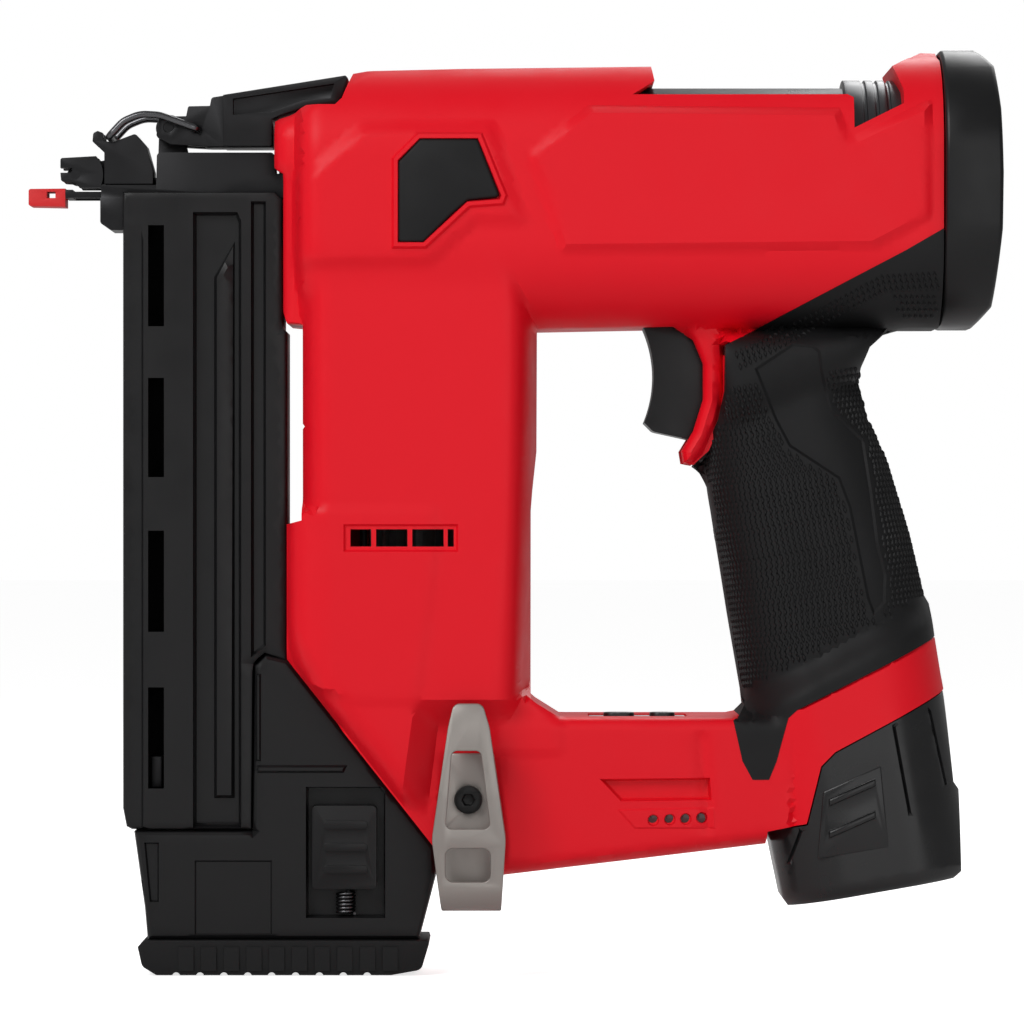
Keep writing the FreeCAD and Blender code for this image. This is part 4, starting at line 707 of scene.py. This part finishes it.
# Turns that stand a piece on the moulded surface at each point.
def surfaceTurns(points, heightOf, side):
    step = 0.3
    slopeX = (heightOf(points + (step, 0)) - heightOf(points - (step, 0))) / (2 * step)
    slopeZ = (heightOf(points + (0, step)) - heightOf(points - (0, step))) / (2 * step)
    turns = []
    for sx, sz in zip(slopeX, slopeZ):
        normal = Vector((-sx, 1, -sz)).normalized()
        normal.y *= side
        turns.append(standOn(normal))
    return turns


stud = dict(wide=0.62, long=1.35, tall=0.32, sink=0.25, crown=0.45)
knurl = dict(rowGap=1.5, sideGap=1.42, first=-3, last=84, reach=30, shift=0.45, steepest=12, offPanel=0.9,
             offBand=1.2, offRim=0.8, offFront=0.9, topZ=-45, topX=175, topLean=0.12)
# Rows of studs under the barrel: each path and how many rows hang below it.
knurlPaths = [([(178.5, -41), (214.5, -22), (229, -21.2)], 3), ([(218, -26.8), (229, -26.8)], 4)]


# One row of studs across the grip, evenly spaced along its curved surface: places, heights and slopes.
def gripRow(row, t):
    us = np.linspace(-knurl["reach"], knurl["reach"], 1201)
    line = gripTop + t * gripDown + us[:, None] * gripAft
    height = sleeveHeight(line)
    _, _, centre, a, _, _ = gripSection(line)
    keep = np.abs(us - centre) < a - 0.01
    line, height, us = line[keep], height[keep], us[keep]
    length = np.concatenate([[0], np.cumsum(np.hypot(np.diff(us), np.diff(height)))])
    count = int(length[-1] // knurl["sideGap"])
    wanted = (np.arange(count) + row % 2 / 2) * knurl["sideGap"] + (length[-1] - count * knurl["sideGap"]) / 2
    index = np.searchsorted(length, wanted).clip(1, len(us) - 2)
    chosen = line[index]
    good = isInside(chosen, sleeveLine) & (depthIn(chosen, gripPanel) < -knurl["offPanel"])
    good &= (chosen - bandTop[0]) @ bandDown < -knurl["offBand"]
    good &= chosen[:, 1] < knurl["topZ"] + (chosen[:, 0] - knurl["topX"]) * knurl["topLean"]
    good &= edgeDistance(chosen, sleeveLine[-7:] + sleeveLine[:1], False) > knurl["offFront"]
    index = index[good]
    ahead, behind = np.minimum(index + 3, len(us) - 1), index - 3
    slope = (height[ahead] - height[behind]) / np.maximum(us[ahead] - us[behind], 1e-6)
    return line[index], height[index], np.clip(slope, -knurl["steepest"], knurl["steepest"])


spotList, turnList = [], []
for row, t in enumerate(np.arange(knurl["first"], knurl["last"], knurl["rowGap"])):
    for p, h, slope in zip(*gripRow(row, t)):
        for side in (-1, 1):
            normal = Vector((-slope * gripAft[0], side, -slope * gripAft[1])).normalized()
            spotList.append((p[0], side * h, p[1]))
            turnList.append(standOn(normal))
for path, rows in knurlPaths:
    grid = np.vstack([spaced([(x + knurl["shift"] * k, z - knurl["rowGap"] * k) for x, z in path],
                             knurl["sideGap"], False)[k % 2:] for k in range(rows)])
    grid = grid[depthIn(grid, sleeveLine) > knurl["offRim"]]
    for side in (-1, 1):
        spotList += [(p[0], side * h, p[1]) for p, h in zip(grid, sleeveHeight(grid))]
        turnList += surfaceTurns(grid, sleeveHeight, side)
corners = [(1, 0), (0, 1), (-1, 0), (0, -1)]
studPiece = pieceFrom("stud", [(x * stud["wide"] * share, y * stud["long"] * share, z)
                               for share, z in ((1, -stud["sink"]), (stud["crown"], stud["tall"]))
                               for x, y in corners],
                      [(0, 1, 5, 4), (1, 2, 6, 5), (2, 3, 7, 6), (3, 0, 4, 7), (4, 5, 6, 7), (3, 2, 1, 0)])
scatter("grip_knurl", spotList, turnList, studPiece, "rubber_black", "tool")
print("grip done, studs:", len(spotList))

# Housing screws: button heads with a round socket in the +Y counterbores.
headProfile = [(0, -1.4), (1.25, -1.4), (1.3, 0.0), (2.2, -0.1), (2.8, -0.5), (3.1, -1.2), (3.1, -2.8),
               (1.5, -2.9), (1.5, -16), (0, -16)]
screwPiece = lathe("screw", headProfile, screws["sides"])
scatter("housing_screws_look", [(x, half - screws["head"], z) for x, z, half in screwSites],
        [Euler((-math.pi / 2, 0, 0)) for _ in screwSites], screwPiece, "screw_black", "tool",
        ("housing_screws",))

# Battery: smoky case with three thin slots on each side.
battery = dict(step=1.4, wall=1.8, weld=0.01, half=24.9, centre=2.2, width=25.1, corner=17, bottom=127.3,
               bottomCorner=3.5, slotDepth=0.8, slotHalf=0.45)
batteryLine = [(186.9, -160.4), (196.3, -158.6), (199.8, -144), (203.2, -140.5), (231.1, -125.4),
               (233.3, -148), (234.8, -150), (235, -170.3), (233, -172), (191.8, -179.2), (190.6, -177.6)]
batterySlots = [[(217.7, -134), (221.6, -155.3)], [(194.6, -160), (191.9, -167.8)],
                [(226.9, -130), (231, -148.5)]]


def batteryHeight(points):
    away = points - gripTop
    t, u = away @ gripDown, away @ gripAft
    depth = battery["half"] - np.abs(u - battery["centre"])
    height = battery["width"] - roundDrop(np.maximum(depth, 0), battery["corner"])
    height = height - roundDrop(np.maximum(battery["bottom"] - t, 0), battery["bottomCorner"])
    for slotLine in batterySlots:
        across = edgeDistance(points, slotLine, False) / battery["slotHalf"]
        height = height - battery["slotDepth"] * np.clip(1 - across, 0, 1)
    return height


batteryLoops = []
for a, b in batterySlots:
    way = np.subtract(b, a) / math.dist(a, b)
    beside = np.array([-way[1], way[0]]) * battery["slotHalf"]
    batteryLoops.append([tuple(a + beside), tuple(b + beside), tuple(b - beside), tuple(a - beside)])
batteryLoops = insideOnly(batteryLoops, batteryLine, 0.2)
spots, faces = panelMesh(batteryLine, batteryHeight, battery["step"], batteryLoops, batterySlots)
spots, faces = bothSides(spots, faces)
finishMesh("battery_case_look", spots, faces, "battery_grey", "battery", ("battery_case",), battery["wall"],
           battery["weld"])
print("battery done")

# Magazine cover: four windows on the brads, a long recess with its rib, and a groove at the back.
cover = dict(step=2.2, wall=1.6, weld=0.01, rings=(0.25, 0.8), half=11.2, corner=0.8, lipX=29.5, lipZ=-9.5,
             lipRun=0.5, lipDrop=0.8, openTop=9.2)
coverLine = [(24.3, 0.4), (62.7, 0.4), (64.6, -1.5), (64.6, -34), (65.6, -35), (65.6, -118), (60, -115.8),
             (57.2, -118.5), (56.8, -160.3), (26.6, -160.3), (25.2, -159.6), (24.3, -155)]
windowLines = [[(30.7, z0), (34.7, z0), (34.7, z1), (30.7, z1)]
               for z0, z1 in ((-8, -33.5), (-46.5, -71.5), (-85, -110.5), (-124.5, -150))]
longRecess = [(42, -4.7), (53.2, -4.7), (54.2, -7), (54.2, -160), (42, -160)]
recessRib = [(47.2, -21), (52.4, -12), (52.4, -152.5), (47.2, -152.5)]
backGroove = [(56.6, -2), (60.4, -2), (60.4, -114), (56.6, -117)]
coverDetails = [(longRecess, -2.6, 0.8), (recessRib, 1.6, 0.8), (backGroove, -1.6, 0.7)]


def coverHeight(points):
    height = cover["half"] - roundDrop(np.clip(depthIn(points, coverLine), 0, None), cover["corner"])
    height = detailed(points, height, coverDetails)
    front = np.clip((cover["lipX"] - points[:, 0]) / cover["lipRun"], 0, 1)
    front = front * np.clip((cover["lipZ"] - points[:, 1]) / cover["lipRun"], 0, 1)
    return height - cover["lipDrop"] * front


# The cover's top is open for the work contact.
def coverEnd(points):
    return np.where(points[:, 1] > 0.2, cover["openTop"], 0.0)


lipLines = [[(x, cover["lipZ"]), (x, -159.5)] for x in (cover["lipX"], cover["lipX"] - cover["lipRun"])]
loops = insideOnly(detailLoops(coverDetails), coverLine, 0.2)
spots, faces = panelMesh(coverLine, coverHeight, cover["step"], loops, lipLines, windowLines, cover["rings"],
                         coverEnd)
spots, faces = bothSides(spots, faces)
finishMesh("magazine_cover_look", spots, faces, "plastic_black", "magazine", ("magazine_cover",),
           cover["wall"], cover["weld"])

# Magazine base: the latch's pocket is deep on the hook's side and only marked on the other.
base = dict(step=1.8, wall=1.8, weld=0.01, rings=(0.3, 1.0, 1.8), half=12.6, corner=1.6)
baseLine = [(60.4, -116.3), (66, -117.6), (102.9, -164.6), (103.2, -172), (99, -188), (30.6, -188),
            (29.9, -180), (27.2, -160.7), (57.1, -160.7), (57.6, -119)]
pocketLine = [(70.5, -149.5), (90.5, -149.5), (90.5, -182.5), (70.5, -182.5)]
blankLine = [(42.5, -168), (62, -168), (62, -186.8), (42.5, -186.8)]
smallWindow = [(29.8, -163.5), (33.5, -163.5), (33.5, -178.5), (31.2, -178.5)]
lowRidge = [(58, -144), (81, -144), (80, -146), (58, -146)]
sideRidge = [(57.9, -121), (59.2, -121), (59.2, -143), (57.9, -143)]
pocketDepth = {-1: -5.5, 1: -0.5}


def baseDetails(side):
    return [(pocketLine, pocketDepth[side], 0.5), (blankLine, -0.5, 0.4), (smallWindow, -1.2, 0.4),
            (lowRidge, 0.7, 0.6), (sideRidge, 0.7, 0.4)]


def baseHeight(points, side):
    height = base["half"] - roundDrop(np.clip(depthIn(points, baseLine), 0, None), base["corner"])
    return detailed(points, height, baseDetails(side))


baseHalves = []
for side in (-1, 1):
    loops = insideOnly(detailLoops(baseDetails(side)), baseLine, 0.1)
    half = panelMesh(baseLine, lambda p, s=side: baseHeight(p, s), base["step"], loops, rings=base["rings"])
    baseHalves.append(sided(*half, side))
spots, faces = joined(*baseHalves)
finishMesh("magazine_base_look", spots, faces, "plastic_black", "magazine", ("magazine_base",), base["wall"],
           base["weld"])
print("magazine done")

# Small parts keep the CAD shape with broken edges: node, finish, body, edge width and its segments.
smallParts = [
    ("end_cap", "plastic_black", "tool", 1.6, 3), ("side_pads", "rubber_black", "tool", 0.9, 3),
    ("control_panel", "panel_grey", "tool", 0.3, 2), ("mode_button", "button_black", "mode_button", 0.35, 2),
    ("light_button", "button_black", "light_button", 0.35, 2), ("belt_hook", "hook_metal", "tool", 0.35, 2),
    ("hook_screw", "screw_black", "tool", 0.3, 2), ("gas_cylinder", "cylinder_grey", "tool", 0.3, 2),
    ("charge_lamps", "lamp_clear", "tool", 0.15, 2), ("nose_frame", "steel_dark", "tool", 0.35, 2),
    ("magazine_rail", "steel_dark", "tool", 0.2, 1), ("nose_door", "steel_dark", "door", 0.35, 2),
    ("latch_lever", "steel_dark", "lever", 0.4, 2), ("work_contact", "steel_dark", "contact", 0.3, 2),
    ("contact_tip", "tip_red", "contact", 0.5, 2), ("magazine_sole", "rubber_black", "magazine", 0.8, 2),
    ("magazine_latch", "plastic_black", "magazine_latch", 0.5, 2),
    ("nail_pusher", "steel_dark", "pusher", 0.3, 2), ("trigger", "plastic_black", "trigger", 1.2, 3),
    ("battery_tab_left", "battery_grey", "battery_tab_left", 0.5, 2),
    ("battery_tab_right", "battery_grey", "battery_tab_right", 0.5, 2),
]
for values in smallParts:
    softCopy(*values)
print("small parts done")

# Ribs along the sole's two sides.
ribs = dict(half=(1.9, 0.45, 3), first=40.5, last=92, gap=5.7, side=15, z=-192.6)
ribPiece = pieceFrom("rib", [(x, y, z) for x in (-ribs["half"][0], ribs["half"][0])
                             for y in (-ribs["half"][1], ribs["half"][1])
                             for z in (-ribs["half"][2], ribs["half"][2])],
                     [(0, 1, 3, 2), (4, 6, 7, 5), (0, 4, 5, 1), (2, 3, 7, 6), (0, 2, 6, 4), (1, 5, 7, 3)])
ribSpots = [(x, y, ribs["z"]) for x in np.arange(ribs["first"], ribs["last"], ribs["gap"])
            for y in (-ribs["side"], ribs["side"])]
scatter("sole_ribs", ribSpots, [Euler() for _ in ribSpots], ribPiece, "rubber_black", "magazine")

# Room: the camera sees plain white, and the pieces get a softer light from it.
room = dict(seen=1.0, given=0.3)
world = bpy.data.worlds.new("room")
bpy.context.scene.world = world
world.use_nodes = True
tree = world.node_tree
tree.nodes.clear()
rays = tree.nodes.new("ShaderNodeLightPath")
mix = tree.nodes.new("ShaderNodeMixShader")
tree.links.new(rays.outputs["Is Camera Ray"], mix.inputs[0])
for socket, strength in ((1, room["given"]), (2, room["seen"])):
    glow = tree.nodes.new("ShaderNodeBackground")
    glow.inputs["Color"].default_value = (1, 1, 1, 1)
    glow.inputs["Strength"].default_value = strength
    tree.links.new(glow.outputs[0], mix.inputs[socket])
out = tree.nodes.new("ShaderNodeOutputWorld")
tree.links.new(mix.outputs[0], out.inputs["Surface"])

# Floor: a matt that keeps the shadow, lifted to white for the camera.
ground = dict(size=12, at=(0.12, 2.0), below=0.0002, tone=0.85, rough=0.9, lift=0.72)
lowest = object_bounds()[0][2]
bpy.ops.mesh.primitive_plane_add(size=ground["size"], location=(*ground["at"], lowest - ground["below"]))
floor = bpy.context.object
floor.name = "floor"
floorPaint = bpy.data.materials.new("floor_white")
floorPaint.use_nodes = True
tree = floorPaint.node_tree
matt = tree.nodes["Principled BSDF"]
matt.inputs["Base Color"].default_value = (*[ground["tone"]] * 3, 1)
matt.inputs["Roughness"].default_value = ground["rough"]
rays = tree.nodes.new("ShaderNodeLightPath")
lift = tree.nodes.new("ShaderNodeEmission")
lift.inputs["Color"].default_value = (*[ground["lift"]] * 3, 1)
add = tree.nodes.new("ShaderNodeAddShader")
tree.links.new(rays.outputs["Is Camera Ray"], lift.inputs["Strength"])
tree.links.new(lift.outputs[0], add.inputs[0])
tree.links.new(matt.outputs[0], add.inputs[1])
tree.links.new(add.outputs[0], tree.nodes["Material Output"].inputs["Surface"])
floor.data.materials.append(floorPaint)

lampAim = Vector((0.12, 0, -0.08))
lamps = [
    dict(name="key", at=(-0.55, -0.95, 0.75), size=0.7, power=11),
    dict(name="front", at=(0.5, -1.3, 0.1), size=0.9, power=3),
    dict(name="back", at=(0.5, 0.9, 0.8), size=0.8, power=7),
]
for lamp in lamps:
    light = bpy.data.lights.new(lamp["name"], "AREA")
    light.size = lamp["size"]
    light.energy = lamp["power"]
    holder = bpy.data.objects.new(lamp["name"], light)
    holder.location = lamp["at"]
    holder.rotation_euler = (lampAim - Vector(lamp["at"])).to_track_quat("-Z", "Y").to_euler()
    bpy.context.collection.objects.link(holder)

# Camera: square on to the side, far off; width is what it takes in across the tool.
eye = dict(centre=(0.1224, -0.0803), width=0.2601, far=1.4, sensor=36)
cameraData = bpy.data.cameras.new("camera")
cameraData.sensor_width = eye["sensor"]
cameraData.lens = eye["sensor"] * eye["far"] / eye["width"]
camera = bpy.data.objects.new("camera", cameraData)
camera.location = (eye["centre"][0], -eye["far"], eye["centre"][1])
camera.rotation_euler = (math.pi / 2, 0, 0)
bpy.context.collection.objects.link(camera)
bpy.context.scene.camera = camera
bpy.context.scene.view_settings.view_transform = "Standard"

print("scene done")
